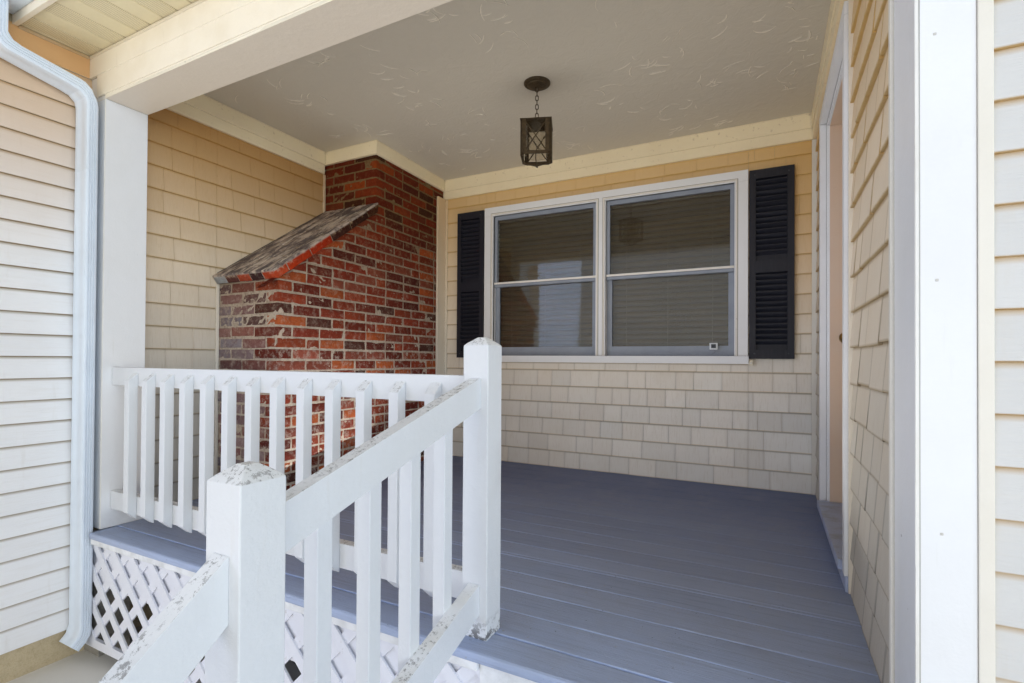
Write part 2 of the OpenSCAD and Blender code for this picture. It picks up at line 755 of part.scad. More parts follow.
module gutter_profile(w, h) polygon([[0, 0], [-w * 0.62, 0], [-w * 0.7, h * 0.28], [-w * 0.9, h * 0.45],
    [-w, h * 0.8], [-w, h], [0, h]]);
gutter_z = eave_z - gutter_h - 20;
outlet = [gutter_x0 + downspout_w / 2, eave_y - gutter_w * 0.36];
module gutter() color("white") difference() {
    translate([0, eave_y, gutter_z]) rotate([90, 0, 90]) translate([0, 0, gutter_x0])
        linear_extrude(x_end - gutter_x0) gutter_profile(gutter_w, gutter_h);
    translate([0, eave_y, gutter_z]) rotate([90, 0, 90]) translate([0, 0, gutter_x0 + sheet_t])
        linear_extrude(x_end - gutter_x0 - 2 * sheet_t) translate([-sheet_t, sheet_t])
            gutter_profile(gutter_w - 2 * sheet_t, gutter_h);
}

// Downspout: outlet, elbow, slanted run to the wall corner, elbow, vertical run,
// and a foot that turns out
ds_back = -26;
ds_front = ds_back - downspout_d;
outlet_y = eave_y - gutter_w * 0.43;
run_top = gutter_z - outlet_drop;
run_end = soffit_bottom - elbow_drop;
module downspout() color("white") translate([gutter_x0, 0, 0]) rotate([90, 0, 90])
    linear_extrude(downspout_w) polygon([
    [outlet_y, gutter_z - joint], [outlet_y, run_top - 5], [outlet_y + 18, run_top - 32],
        [outlet_y + 45, run_top - 43],
    [ds_back - 72, run_end + 18], [ds_back - 40, run_end], [ds_back - 20, run_end - 30],
        [ds_back, run_end - 92],
    [ds_back, spout_foot], [ds_back - 20, spout_foot * 0.667], [ds_back - 52, spout_foot * 0.44],
    [ds_back - 86, spout_foot * 0.693], [ds_front - 12, spout_foot * 0.88], [ds_front, spout_foot * 1.133],
    [ds_front, run_end - 90], [ds_front - 6, run_end - 62], [ds_front - 30, run_end - 38],
        [ds_front - 66, run_end - 28],
    [outlet_y + 24, run_top - 88], [outlet_y - 22, run_top - 70], [outlet_y - downspout_d, run_top - 30],
    [outlet_y - downspout_d, gutter_z - joint]]);

module ceiling() color("dimgray") difference() {
    block([0, beam_d, ceiling_z], [right_face, porch_d, ceiling_z + ceiling_t]);
    stack_hole();
}

// Two crown boards along a wall that faces +X, from the origin along +Y
module crown_run(len) {
    translate([0, 0, ceiling_z - crown_upper_h]) cube([crown_upper_t, len, crown_upper_h]);
    translate([0, 0, crown_bottom]) cube([crown_lower_t, len, crown_lower_h]);
}
module crown_molding() color("blanchedalmond") {
    translate([0, beam_d, 0]) crown_run(stack_y - stack_trim_t - beam_d);
    difference() {
        translate([chimney_back_w, porch_d, 0]) rotate([0, 0, -90])
            crown_run(right_face - chimney_back_w);
        chimney_column(joint);
    }
    translate([right_face, porch_d, 0]) rotate([0, 0, 180]) crown_run(porch_d - beam_d);
    // one board around the stack
    translate([0, 0, ceiling_z - crown_upper_h]) linear_extrude(crown_upper_h) difference() {
        intersection() {
            chimney_plan(stack_trim_t);
            translate([0, stack_y - stack_trim_t]) square([big, porch_d - stack_y + stack_trim_t]);
        }
        intersection() {
            chimney_plan();
            translate([-1, stack_y]) square([big, big]);
        }
    }
}

module on_roof() translate([0, eave_y, eave_z]) rotate([roof_slope, 0, 0]) children();
module stack_hole() intersection() {
    chimney_column(joint);
    block([-1, stack_y, -2], [chimney_w, porch_d, big]);
}
module roof_trim_back() block([-big, y_end, 0], [big, y_end + big, big]);

module roof_deck() color("burlywood") difference() {
    on_roof() translate([x_start, 0, 0]) cube([x_end - x_start, roof_len + 20, roof_board_t]);
    stack_hole();
    roof_trim_back();
}

module roof_shingles() color("dimgray") difference() {
    on_roof() translate([x_start, 0, roof_board_t]) rotate([90, 0, 90]) linear_extrude(x_end - x_start)
        polygon(concat([[0, 0]], [for (i = [0 : ceil(roof_len / roof_exposure)]) each
            [[i * roof_exposure, roof_butt], [(i + 1) * roof_exposure, roof_butt - 6]]],
            [[(ceil(roof_len / roof_exposure) + 1) * roof_exposure, 0]]));
    stack_hole();
    roof_trim_back();
}

module window_casing() color("white") {
    // casing boards at the sides and over the head
    for (x = [window_x0, light_x1])
        block([x, casing_y, light_z0 + joint], [x + casing_w, porch_d - joint, light_z1 - joint]);
    block([window_x0, casing_y, light_z1], [window_x1, porch_d - joint, window_z1]);
    // lining of the opening
    for (x = [light_x0 - lining_t, light_x1])
        block([x, porch_d, light_z0 + joint], [x + lining_t, y_end, light_z1 - joint]);
    block([light_x0 - lining_t, porch_d, light_z1], [light_x1 + lining_t, y_end, light_z1 + lining_t]);
    // post between the windows
    block([light_x0 + unit_w, casing_y, light_z0 + joint],
        [light_x0 + unit_w + mullion_w, y_end, light_z1 - joint]);
    // sill with its nose
    block([window_x0 - sill_ear, casing_y - sill_nose, window_z0],
        [window_x1 + sill_ear, porch_d - joint, light_z0]);
    block([light_x0 - lining_t, porch_d, light_z0 - lining_t], [light_x1 + lining_t, y_end, light_z0]);
}

module sash(x, z0, z1, y, stile, top, bottom) difference() {
    block([x, y, z0], [x + unit_w, y + sash_t, z1]);
    block([x + stile, y - 1, z0 + bottom], [x + unit_w - stile, y + sash_t + 1, z1 - top]);
}
module window_sashes() color("lightslategray") for (x = unit_x) {
    sash(x, meeting_z - meeting_h / 2, light_z1, sash_y, upper_stile, upper_stile + 6, meeting_h);
    sash(x, light_z0, meeting_z + meeting_h / 2, sash_y + sash_t, lower_stile, meeting_h, lower_rail);
}

module pane(x, z0, z1, y, stile, top, bottom)
    block([x + stile, y + (sash_t - glass_t) / 2, z0 + bottom],
        [x + unit_w - stile, y + (sash_t + glass_t) / 2, z1 - top]);
module window_glass() color("lightblue", 0.4) for (x = unit_x) {
    pane(x, meeting_z - meeting_h / 2, light_z1, sash_y, upper_stile, upper_stile + 6, meeting_h);
    pane(x, light_z0, meeting_z + meeting_h / 2, sash_y + sash_t, lower_stile, meeting_h, lower_rail);
}

blind_y = sash_y + 2 * sash_t + 14;
module window_blinds() color("darkolivegreen") for (x = unit_x) {
    block([x + 2, blind_y, light_z1 - 40], [x + unit_w - 2, blind_y + blind_w, light_z1 - joint]);
    for (z = [light_z0 + 26 : blind_pitch : light_z1 - 60])
        translate([x + 8, blind_y + blind_w / 2, z]) rotate([52, 0, 0])
            translate([0, -blind_w / 2, 0]) cube([unit_w - 16, blind_w - 2, 2.5]);
    for (k = [0.16, 0.5, 0.84])
        block([x + k * unit_w - 3, blind_y + blind_w / 2 - 1, light_z0 + 12],
            [x + k * unit_w + 3, blind_y + blind_w / 2 + 1, light_z1 - 40]);
}

// One louvered shutter, its back on the siding, from the origin along +X
shutter_h = window_h - shutter_short;
louver_field = [[shutter_frame + 20, shutter_h * 0.475 - shutter_mid / 2 + 14],
    [shutter_h * 0.475 + shutter_mid / 2 + 14, shutter_h - shutter_frame - 20]];
module shutter() {
    difference() {
        cube([shutter_w, shutter_t, shutter_h]);
        for (f = louver_field)
            block([shutter_frame, -1, f[0]], [shutter_w - shutter_frame, shutter_t - 5, f[1]]);
    }
    for (f = louver_field)
        intersection() {
            block([shutter_frame, 0, f[0]], [shutter_w - shutter_frame, shutter_t, f[1]]);
            for (z = [f[0] : louver_pitch : f[1]])
                translate([shutter_frame, shutter_t - 2, z + louver_pitch * 0.9]) rotate([-42, 0, 0])
                    translate([0, -40, 0]) cube([shutter_w - 2 * shutter_frame, 40, 6]);
        }
}
shutter_y = porch_d - siding_butt - shutter_t;
module shutters() color("darkslategray")
    for (x = [window_x0 - shutter_gap - shutter_w, window_x1 + shutter_gap])
        translate([x, shutter_y, window_z0 + shutter_foot]) shutter();

stop_t = 13;
module door_frame() color("white") {
    // jambs with their stops
    for (side = [0, 1]) let (y = side == 0 ? door_y - jamb_t : door_y1,
        s = side == 0 ? door_y : door_y1 - stop_t) {
        block([right_face, y, sill_z], [right_face + wall_t, y + jamb_t, door_z1 - joint]);
        block([right_face + 8, s, door_z0], [leaf_x - leaf_gap, s + stop_t, door_z1 - joint]);
    }
    // head with its stop
    block([right_face, door_y - jamb_t, door_z1], [right_face + wall_t, door_y1 + jamb_t,
        door_z1 + jamb_t]);
    block([right_face + 8, door_y + stop_t + joint, door_z1 - stop_t],
        [leaf_x - leaf_gap, door_y1 - stop_t - joint, door_z1 + 1]);
    // casing on the porch side
    for (y = [door_y - casing_side, door_y1 + casing_reveal])
        block([right_face - door_casing_t, y, sill_z],
            [right_face - joint, y + door_casing_w, door_z1 + casing_reveal - joint]);
    block([right_face - door_casing_t, door_y - casing_side, door_z1 + casing_reveal],
        [right_face - joint, door_y1 + casing_side, door_z1 + casing_side]);
}

module door_sill() color("slategray") {
    block([right_face - door_casing_t - 14, door_y, sill_z], [right_face + wall_t, door_y1, door_z0]);
    block([right_face - door_casing_t + 4, door_y - casing_side, deck_h],
        [right_face, door_y1 + casing_side, sill_z]);
}

// Leaf with sunk panels: two tall above, two lower
panel_rows = [[0.123, 0.403], [0.491, 0.923]];
panel_w = (door_w - 2 * stile_w - mid_stile) / 2;
module door_leaf() color("antiquewhite") difference() {
    block([leaf_x, door_y + leaf_gap, door_z0 + leaf_gap],
        [leaf_x + leaf_t, door_y1 - leaf_gap, door_z1 - leaf_gap]);
    for (y = [door_y + stile_w, door_y + (door_w + mid_stile) / 2], r = panel_rows)
        for (x = [leaf_x - 1, leaf_x + leaf_t - panel_in])
            block([x, y, door_z0 + r[0] * door_h], [x + panel_in + 1, y + panel_w,
                door_z0 + r[1] * door_h]);
}

knob_y = door_y1 - leaf_gap - backset;
module knob() {
    cylinder(r = knob_r + 4, h = 7, $fn = 40);
    cylinder(r = 10, h = 32, $fn = 32);
    translate([0, 0, 40]) scale([1, 1, 0.72]) sphere(r = knob_r, $fn = 40);
}
module door_knobs() {
    translate([leaf_x, knob_y, deck_h + knob_z]) rotate([0, -90, 0]) knob();
    translate([leaf_x + leaf_t, knob_y, deck_h + knob_z]) rotate([0, 90, 0]) knob();
}

// Butt hinges: the frame's half has the pin and the outer knuckles, the leaf's half the middle one
plate_t = leaf_gap * 0.4;
hinge_z = [door_z0 + hinge_inset, (door_z0 + door_z1) / 2, door_z1 - hinge_inset - hinge_h];
knuckle_h = (hinge_h - 4) / 3;
module knuckle(z0, z1) translate([hinge_x, hinge_y, z0]) cylinder(r = knuckle_r, h = z1 - z0, $fn = 32);
module pin(z, r) translate([hinge_x, hinge_y, z]) cylinder(r = r, h = hinge_h, $fn = 32);
module door_hinges() color("goldenrod") for (z = hinge_z) {
    block([leaf_x, door_y + 0.2, z], [hinge_x - knuckle_r - 0.6, door_y + plate_t, z + hinge_h]);
    for (k = [z, z + 2 * (knuckle_h + 2)]) {
        knuckle(k, k + knuckle_h);
        block([hinge_x - knuckle_r - 1, door_y + 0.2, k], [hinge_x - 4, door_y + plate_t, k + knuckle_h]);
    }
    pin(z, 4);
}
module leaf_hinge(z) difference() {
    union() {
        block([leaf_x, door_y + leaf_gap - plate_t, z],
            [hinge_x - knuckle_r - 0.6, door_y + leaf_gap - 0.2, z + hinge_h]);
        knuckle(z + knuckle_h + 2, z + 2 * knuckle_h + 2);
        block([hinge_x - knuckle_r - 1, door_y + leaf_gap - plate_t, z + knuckle_h + 2],
            [hinge_x - 4, door_y + leaf_gap - 0.2, z + 2 * knuckle_h + 2]);
    }
    translate([0, 0, -1]) pin(z, 4.3);
    pin(z + 1, 4.3);
}
module door_hardware() color("goldenrod") {
    door_knobs();
    for (z = hinge_z) leaf_hinge(z);
}

// Lantern on a chain: canopy, links, and a cage of four sides with crossed bars over a clear glass
chain_top = ceiling_z - canopy_h;
lantern_top = chain_top - chain_l;
plate_z = lantern_top - lantern_rise;
foot_z = plate_z - lantern_h;
link_pitch = chain_l / chain_n;
link_l = link_pitch + 2 * wire_t + joint;
side_out = lantern_w / 2 - 5;
side_half = lantern_w / 2 - strap_w + 1;
module at_lantern(z, a = 0) translate([lantern_x, lantern_y, z]) rotate(a) children();

// One oval link in the XZ plane, its centre at the origin
module link() {
    r = (link_w - wire_t) / 2;
    straight = link_l - link_w;
    for (s = [-1, 1]) {
        translate([0, 0, s * straight / 2]) rotate([90, 0, 0]) rotate(s > 0 ? 0 : 180)
            rotate_extrude(angle = 180, $fn = 48) translate([r, 0]) circle(d = wire_t, $fn = 24);
        translate([s * r, 0, -straight / 2 - eps]) cylinder(d = wire_t, h = straight + 2 * eps, $fn = 24);
    }
}

module lantern_hanger() color("saddlebrown") {
    at_lantern(ceiling_z) rotate_extrude($fn = 64) polygon([[0, 0], [canopy_r, 0], [canopy_r, -6],
        [canopy_r - 6, -10],
        [canopy_r * 0.72, -12], [canopy_r * 0.68, -17], [canopy_r * 0.4, -21], [12, -canopy_h],
            [0, -canopy_h]]);
    for (i = [0 : chain_n - 2])
        at_lantern(chain_top - (i + 0.5) * link_pitch, lantern_turn + 90 * (i % 2)) link();
}

// A bar between two points of the XZ plane, standing on Y = 0 with its thickness towards -Y
module bar(a, b, w, t) let (d = b - a) translate([a[0], 0, a[1]]) rotate([0, -atan2(d[1], d[0]), 0])
    translate([0, -t, -w / 2]) cube([norm(d), t, w]);

module cage_side() translate([0, -side_out + cage_bar / 2, 0]) {
    for (s = [-1, 1])
        block([s * side_half - strap_w / 2, -cage_bar, foot_z],
            [s * side_half + strap_w / 2, 0, plate_z + 2]);
    block([-side_half, -cage_bar - 1, foot_z - 9], [side_half, 1, foot_z + 9]);
    translate([0, -1, 0]) bar([-side_half, foot_z], [side_half, plate_z], cage_bar, cage_bar - 2);
    translate([0, -1, 0]) bar([-side_half, plate_z], [side_half, foot_z], cage_bar, cage_bar - 2);
}

// A strip that runs from the foot of one side through the tip to the opposite side
tip_knee = [side_out * 0.84, foot_z - lantern_tip * 0.62];
module tip_strip() translate([0, cage_bar / 2, 0]) rotate([90, 0, 0]) linear_extrude(cage_bar) polygon([
    [-side_out - 1, foot_z], [-tip_knee[0], tip_knee[1]], [0, foot_z - lantern_tip], tip_knee,
        [side_out + 1, foot_z],
    [side_out - cage_bar, foot_z], [tip_knee[0] - cage_bar, tip_knee[1] + cage_bar * 0.7],
    [0, foot_z - lantern_tip + cage_bar], [cage_bar - tip_knee[0], tip_knee[1] + cage_bar * 0.7],
    [cage_bar - side_out, foot_z]]);

module lantern_cage() color("saddlebrown") at_lantern(0, lantern_turn) {
    translate([0, 0, lantern_top - link_pitch / 2 + link_pitch]) rotate(90 * ((chain_n - 1) % 2)) link();
    translate([0, 0, plate_z + 3]) linear_extrude(lantern_rise - 3, scale = 0.14)
        square(lantern_w - 14, center = true);
    translate([0, 0, plate_z]) linear_extrude(4) square(lantern_w, center = true);
    for (a = [0 : 90 : 270]) rotate(a) {
        cage_side();
        // corner pieces join neighbouring sides at the foot
        translate([side_half + 1, -side_out + 1, foot_z]) rotate(45) translate([-2, -cage_bar / 2, -8])
            cube([(side_out - side_half) * sqrt(2) + 2, cage_bar, 16]);
    }
    for (a = [0, 90]) rotate(a) tip_strip();
    translate([0, 0, foot_z - lantern_tip - 3]) cylinder(r1 = 4, r2 = 9, h = 14, $fn = 32);
}
module lantern_glass() color("white", 0.4) at_lantern(foot_z + 12, lantern_turn) difference() {
    cylinder(r = side_out - 14, h = lantern_h - 12 - joint, $fn = 48);
    translate([0, 0, -1]) cylinder(r = side_out - 17, h = lantern_h - 11, $fn = 48);
}

place() {
    left_wall();
    back_wall();
    right_wall_near();
    right_wall_far();
    right_wall_head();
    right_wall_base();
    front_wall();
    shingles();
    clapboards();
    chimney();
    chimney_cap();
    deck_floor();
    deck_frame();
    deck_piers();
    deck_skirt();
    lattice();
    steps();
    stair_stringers();
    newel_posts();
    handrails();
    balusters();
    pilasters();
    wall_trims();
    beam();
    frieze();
    soffit();
    fascia();
    gutter();
    downspout();
    ceiling();
    crown_molding();
    roof_deck();
    roof_shingles();
    window_casing();
    window_sashes();
    window_glass();
    window_blinds();
    shutters();
    door_frame();
    door_sill();
    door_hinges();
    door_leaf();
    door_hardware();
    lantern_hanger();
    lantern_cage();
    lantern_glass();
}
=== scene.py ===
import bpy
import bmesh
import math
import numpy as np
from mathutils import Matrix, Vector


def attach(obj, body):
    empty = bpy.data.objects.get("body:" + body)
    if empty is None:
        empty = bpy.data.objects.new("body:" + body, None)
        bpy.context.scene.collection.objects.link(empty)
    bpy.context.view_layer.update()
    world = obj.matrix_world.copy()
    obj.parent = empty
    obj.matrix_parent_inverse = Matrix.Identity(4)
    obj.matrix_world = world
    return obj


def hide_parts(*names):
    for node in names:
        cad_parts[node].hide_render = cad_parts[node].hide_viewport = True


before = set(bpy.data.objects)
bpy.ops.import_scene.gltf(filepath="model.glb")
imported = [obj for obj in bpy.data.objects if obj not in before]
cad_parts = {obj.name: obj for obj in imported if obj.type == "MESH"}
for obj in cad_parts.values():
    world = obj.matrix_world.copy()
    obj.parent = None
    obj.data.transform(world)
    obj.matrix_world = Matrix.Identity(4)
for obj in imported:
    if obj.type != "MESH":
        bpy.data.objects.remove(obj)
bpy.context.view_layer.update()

# Porch measures in millimetres: X from the left wall's face, Y from the beam's front, Z from the ground.
porch = {
    "origin": (1869.5, 725, 0),
    "rightFace": 3373,
    "backFace": 2455,
    "deckTop": 630,
    "wallTop": 2908,
    "ceiling": 3077,
    "beamDepth": 191,
    "frontWall": 3464,
    "clapboard": 3489,
    "skirtStart": 146,
    "wallEnd": 2605,
}
photo = {
    "width": 1024,
    "height": 683,
    "focalPixels": 506.37,
    "centreX": 511.74,
    "centreY": 354.88,
    "yaw": 0.4693,
    "pitch": 0.0089,
    "roll": 0.0059,
    "camera": (3.091, -1.323, 1.4837),  # metres, in porch measures
}


# Meshes are gathered in millimetres and become one object each.
def newHeap():
    return {"points": [], "faces": [], "tints": [], "count": 0}


def addShape(heap, points, faces, tint=(1, 1, 1, 0)):
    points = np.asarray(points, float)
    start = heap["count"]
    heap["points"].append(points)
    heap["faces"] += [tuple(start + i for i in face) for face in faces]
    heap["tints"].append(np.broadcast_to(np.asarray(tint, float), (len(points), 4)))
    heap["count"] += len(points)


def makePiece(heap, name, material, replaced=(), body="house", smoothAngle=18):
    points = (np.concatenate(heap["points"]) - porch["origin"]) / 1000
    mesh = bpy.data.meshes.new(name)
    mesh.from_pydata(points.tolist(), [], heap["faces"])
    tint = mesh.color_attributes.new("tint", "FLOAT_COLOR", "POINT")
    tint.data.foreach_set("color", np.concatenate(heap["tints"]).astype(np.float32).ravel())
    return finishPiece(mesh, name, material, replaced, body, smoothAngle)


def finishPiece(mesh, name, material, replaced, body, smoothAngle):
    work = bmesh.new()
    work.from_mesh(mesh)
    bmesh.ops.recalc_face_normals(work, faces=work.faces)
    work.to_mesh(mesh)
    work.free()
    mesh.polygons.foreach_set("use_smooth", [True] * len(mesh.polygons))
    mesh.set_sharp_from_angle(angle=math.radians(smoothAngle))
    mesh.materials.append(material)
    piece = bpy.data.objects.new(name, mesh)
    bpy.context.collection.objects.link(piece)
    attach(piece, body)
    if replaced:
        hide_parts(*replaced)
    return piece


shellStore = {}


# Closed box surface in whole steps, shared by every block with the same number of cells.
def blockShell(cells):
    if cells in shellStore:
        return shellStore[cells]
    index = {}
    corners = []
    faces = []
    for axis in range(3):
        u, v = [a for a in range(3) if a != axis]
        for side in (0, cells[axis]):
            for i in range(cells[u]):
                for j in range(cells[v]):
                    loop = []
                    for di, dj in ((0, 0), (1, 0), (1, 1), (0, 1)):
                        spot = [0, 0, 0]
                        spot[axis] = side
                        spot[u] = i + di
                        spot[v] = j + dj
                        spot = tuple(spot)
                        if spot not in index:
                            index[spot] = len(corners)
                            corners.append(spot)
                        loop.append(index[spot])
                    outward = (side > 0) == (axis != 1)
                    faces.append(loop if outward else loop[::-1])
    shellStore[cells] = (np.array(corners), faces)
    return shellStore[cells]


# Block with rounded edges and a slightly uneven surface.
def roundedBlock(low, high, cells, radius, rough, rng):
    corners, faces = blockShell(cells)
    low = np.array(low, float)
    high = np.array(high, float)
    points = np.empty(corners.shape)
    for axis in range(3):
        stops = np.linspace(low[axis], high[axis], cells[axis] + 1)
        if cells[axis] > 2:
            stops[1:-1] = np.linspace(low[axis] + radius, high[axis] - radius, cells[axis] - 1)
        points[:, axis] = stops[corners[:, axis]]
    atEnd = (corners == 0) | (corners == np.array(cells))
    ends = atEnd.sum(axis=1)
    pull = np.where(ends == 3, 0.42, np.where(ends == 2, 0.29, 0)) * radius
    points -= np.sign(points - (low + high) / 2) * atEnd * pull[:, None]
    if rough:
        points += rng.normal(0, rough, points.shape)
    return points, faces


def addBoard(heap, low, high, rng, edge=3, step=90, rough=0.3, tint=(1, 1, 1, 0)):
    size = np.array(high, float) - np.array(low, float)
    along = int(np.argmax(size))
    cells = [3, 3, 3]
    cells[along] = max(3, int(size[along] / step))
    points, faces = roundedBlock(low, high, tuple(cells), edge, rough, rng)
    addShape(heap, points, faces, tint)


def addLoft(heap, rings, tint=(1, 1, 1, 0)):
    rings = np.asarray(rings, float)
    count, around = rings.shape[:2]
    faces = []
    for i in range(count - 1):
        for j in range(around):
            k = (j + 1) % around
            faces.append((i * around + j, i * around + k, (i + 1) * around + k, (i + 1) * around + j))
    faces.append(tuple(range(around - 1, -1, -1)))
    faces.append(tuple((count - 1) * around + j for j in range(around)))
    addShape(heap, rings.reshape(-1, 3), faces, tint)


# Smooth uneven field made of a few waves, about size millimetres across.
def ripple(points, size, rng, waves=9):
    total = np.zeros(len(points))
    for k in range(waves):
        direction = rng.normal(0, 1, 3)
        direction *= 2 * math.pi / (size * rng.uniform(0.7, 1.6)) / np.linalg.norm(direction)
        total += np.sin(points @ direction + rng.uniform(0, 2 * math.pi))
    return total / math.sqrt(waves)


def pieceTint(rng, spread, warm=0.0, seed=None):
    level = 1 + rng.normal(0, spread)
    lean = rng.normal(0, warm)
    return (level * (1 + lean), level, level * (1 - lean), rng.uniform(0, 1) if seed is None else seed)


# Materials are built from a base colour, mask layers over it and bump layers.
def linear(colour):
    c = np.array(colour, float) / 255
    c = np.where(c <= 0.04045, c / 12.92, ((c + 0.055) / 1.055) ** 2.4)
    return (float(c[0]), float(c[1]), float(c[2]), 1)


def feed(tree, socket, value):
    if isinstance(value, bpy.types.NodeSocket):
        tree.links.new(value, socket)
    else:
        socket.default_value = value


def mixColours(tree, share, first, second, mode="MIX"):
    mix = tree.nodes.new("ShaderNodeMix")
    mix.data_type = "RGBA"
    mix.blend_type = mode
    feed(tree, mix.inputs[0], share)
    feed(tree, mix.inputs[6], first)
    feed(tree, mix.inputs[7], second)
    return mix.outputs[2]


def mixNumbers(tree, share, first, second):
    mix = tree.nodes.new("ShaderNodeMix")
    feed(tree, mix.inputs[0], share)
    feed(tree, mix.inputs[2], first)
    feed(tree, mix.inputs[3], second)
    return mix.outputs[0]


def calculate(tree, operation, first, second=0.0):
    step = tree.nodes.new("ShaderNodeMath")
    step.operation = operation
    feed(tree, step.inputs[0], first)
    feed(tree, step.inputs[1], second)
    return step.outputs[0]


def maskValue(tree, spot, piece, layer):
    kind = layer.get("kind", "noise")
    place = spot
    if "stretch" in layer:
        mapping = tree.nodes.new("ShaderNodeMapping")
        mapping.inputs["Scale"].default_value = layer["stretch"]
        tree.links.new(spot, mapping.inputs["Vector"])
        place = mapping.outputs["Vector"]
    if kind == "noise":
        texture = tree.nodes.new("ShaderNodeTexNoise")
        texture.inputs["Scale"].default_value = layer["scale"]
        texture.inputs["Detail"].default_value = layer.get("detail", 4)
        texture.inputs["Roughness"].default_value = layer.get("grit", 0.6)
        texture.inputs["Distortion"].default_value = layer.get("swirl", 0)
        if piece and layer.get("perPiece"):
            texture.noise_dimensions = "4D"
            tree.links.new(calculate(tree, "MULTIPLY", piece.outputs["Alpha"], 60.0), texture.inputs["W"])
        tree.links.new(place, texture.inputs["Vector"])
        value = texture.outputs["Fac"]
    elif kind in ("cracks", "cells"):
        texture = tree.nodes.new("ShaderNodeTexVoronoi")
        texture.feature = "DISTANCE_TO_EDGE" if kind == "cracks" else "F1"
        texture.inputs["Scale"].default_value = layer["scale"]
        texture.inputs["Randomness"].default_value = layer.get("random", 1)
        tree.links.new(place, texture.inputs["Vector"])
        value = texture.outputs["Distance"]
    elif kind == "place":
        split = tree.nodes.new("ShaderNodeSeparateXYZ")
        tree.links.new(spot, split.inputs[0])
        value = split.outputs["XYZ".index(layer["axis"])]
        if "every" in layer:
            value = calculate(tree, "PINGPONG", value, layer["every"])
    elif kind == "facing":
        normal = tree.nodes.new("ShaderNodeNewGeometry").outputs["Normal"]
        split = tree.nodes.new("ShaderNodeSeparateXYZ")
        tree.links.new(normal, split.inputs[0])
        value = split.outputs["XYZ".index(layer["axis"])]
    # Ambient occlusion as a mask: it is high where nearby surfaces would cast shade, and is used for painted
    # shade.
    elif kind == "corner":
        shade = tree.nodes.new("ShaderNodeAmbientOcclusion")
        shade.samples = 4
        shade.inputs["Distance"].default_value = layer["reach"]
        value = shade.outputs["AO"]
    else:
        value = piece.outputs["Alpha"]
    spread = tree.nodes.new("ShaderNodeMapRange")
    spread.inputs["From Min"].default_value = layer["low"]
    spread.inputs["From Max"].default_value = layer["high"]
    spread.inputs["To Max"].default_value = layer.get("strength", 1)
    tree.links.new(value, spread.inputs["Value"])
    value = spread.outputs[0]
    for other in layer.get("times", ()):
        value = calculate(tree, "MULTIPLY", value, maskValue(tree, spot, piece, other))
    return value


finishSockets = {
    "roughness": "Roughness",
    "metallic": "Metallic",
    "specular": "Specular IOR Level",
    "clear": "Transmission Weight",
    "ior": "IOR",
}


def makeFinish(name, look):
    material = bpy.data.materials.new(name)
    material.use_nodes = True
    tree = material.node_tree
    shader = tree.nodes["Principled BSDF"]
    spot = tree.nodes.new("ShaderNodeTexCoord").outputs["Object"]
    for key, socket in finishSockets.items():
        if key in look:
            shader.inputs[socket].default_value = look[key]
    colour = linear(look["colour"])
    rough = look.get("roughness", 0.5)
    piece = None
    if look.get("tinted"):
        piece = tree.nodes.new("ShaderNodeAttribute")
        piece.attribute_name = "tint"
        colour = mixColours(tree, 1.0, colour, piece.outputs["Color"], "MULTIPLY")
    for layer in look.get("layers", ()):
        share = maskValue(tree, spot, piece, layer)
        if "colour" in layer:
            colour = mixColours(tree, share, colour, linear(layer["colour"]), layer.get("mode", "MIX"))
        if "roughness" in layer:
            rough = mixNumbers(tree, share, rough, layer["roughness"])
    feed(tree, shader.inputs["Base Color"], colour)
    if isinstance(rough, bpy.types.NodeSocket):
        tree.links.new(rough, shader.inputs["Roughness"])
    normal = None
    for layer in look.get("bumps", ()):
        bump = tree.nodes.new("ShaderNodeBump")
        bump.inputs["Distance"].default_value = layer["depth"]
        tree.links.new(maskValue(tree, spot, piece, layer), bump.inputs["Height"])
        if normal:
            tree.links.new(normal, bump.inputs["Normal"])
        normal = bump.outputs["Normal"]
    if normal:
        tree.links.new(normal, shader.inputs["Normal"])
    return material


# Layers of a finish: where each lies, then its colour and strength. Bumps give a depth in metres.
def blotches(scale, low, high, colour=None, strength=1, detail=4, **more):
    layer = {"scale": scale, "low": low, "high": high, "strength": strength, "detail": detail, **more}
    if colour:
        layer["colour"] = colour
    return layer


def streaks(stretch, low, high, colour=None, strength=1, detail=4, **more):
    return blotches(1.0, low, high, colour, strength, detail, stretch=stretch, **more)


def fade(axis, low, high, colour=None, strength=1, **more):
    return blotches(0, low, high, colour, strength, kind="place", axis=axis, **more)


def facing(axis, low, high, colour=None, strength=1, **more):
    return blotches(0, low, high, colour, strength, kind="facing", axis=axis, **more)


# Painted shade: darkens a finish in corners and between parts, where ambient occlusion finds nearby
# surfaces.
def paintedCornerShade(reach, low, high, colour, strength):
    return blotches(0, low, high, colour, strength, kind="corner", reach=reach)


def brickWash(low, high, colour=None, strength=1, **more):
    return blotches(0, low, high, colour, strength, kind="wash", **more)


def unevenness(scale, depth, detail=4, low=0.3, high=0.7, **more):
    return blotches(scale, low, high, detail=detail, depth=depth, **more)


def grainRelief(stretch, depth, detail=4, low=0.3, high=0.7, **more):
    return streaks(stretch, low, high, detail=detail, depth=depth, **more)


# A node of the frame keeps its mesh and gets its material, and rounded edges where they show.
def dressNode(name, material, edge=0.0):
    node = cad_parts[name]
    node.data.materials.clear()
    node.data.materials.append(material)
    if edge:
        weld = node.modifiers.new("weld", "WELD")
        weld.merge_threshold = 0.00005
        bevel = node.modifiers.new("worn edges", "BEVEL")
        bevel.width = edge
        bevel.segments = 2
        bevel.limit_method = "ANGLE"
        bevel.angle_limit = math.radians(38)
        bevel.use_clamp_overlap = True
    return node


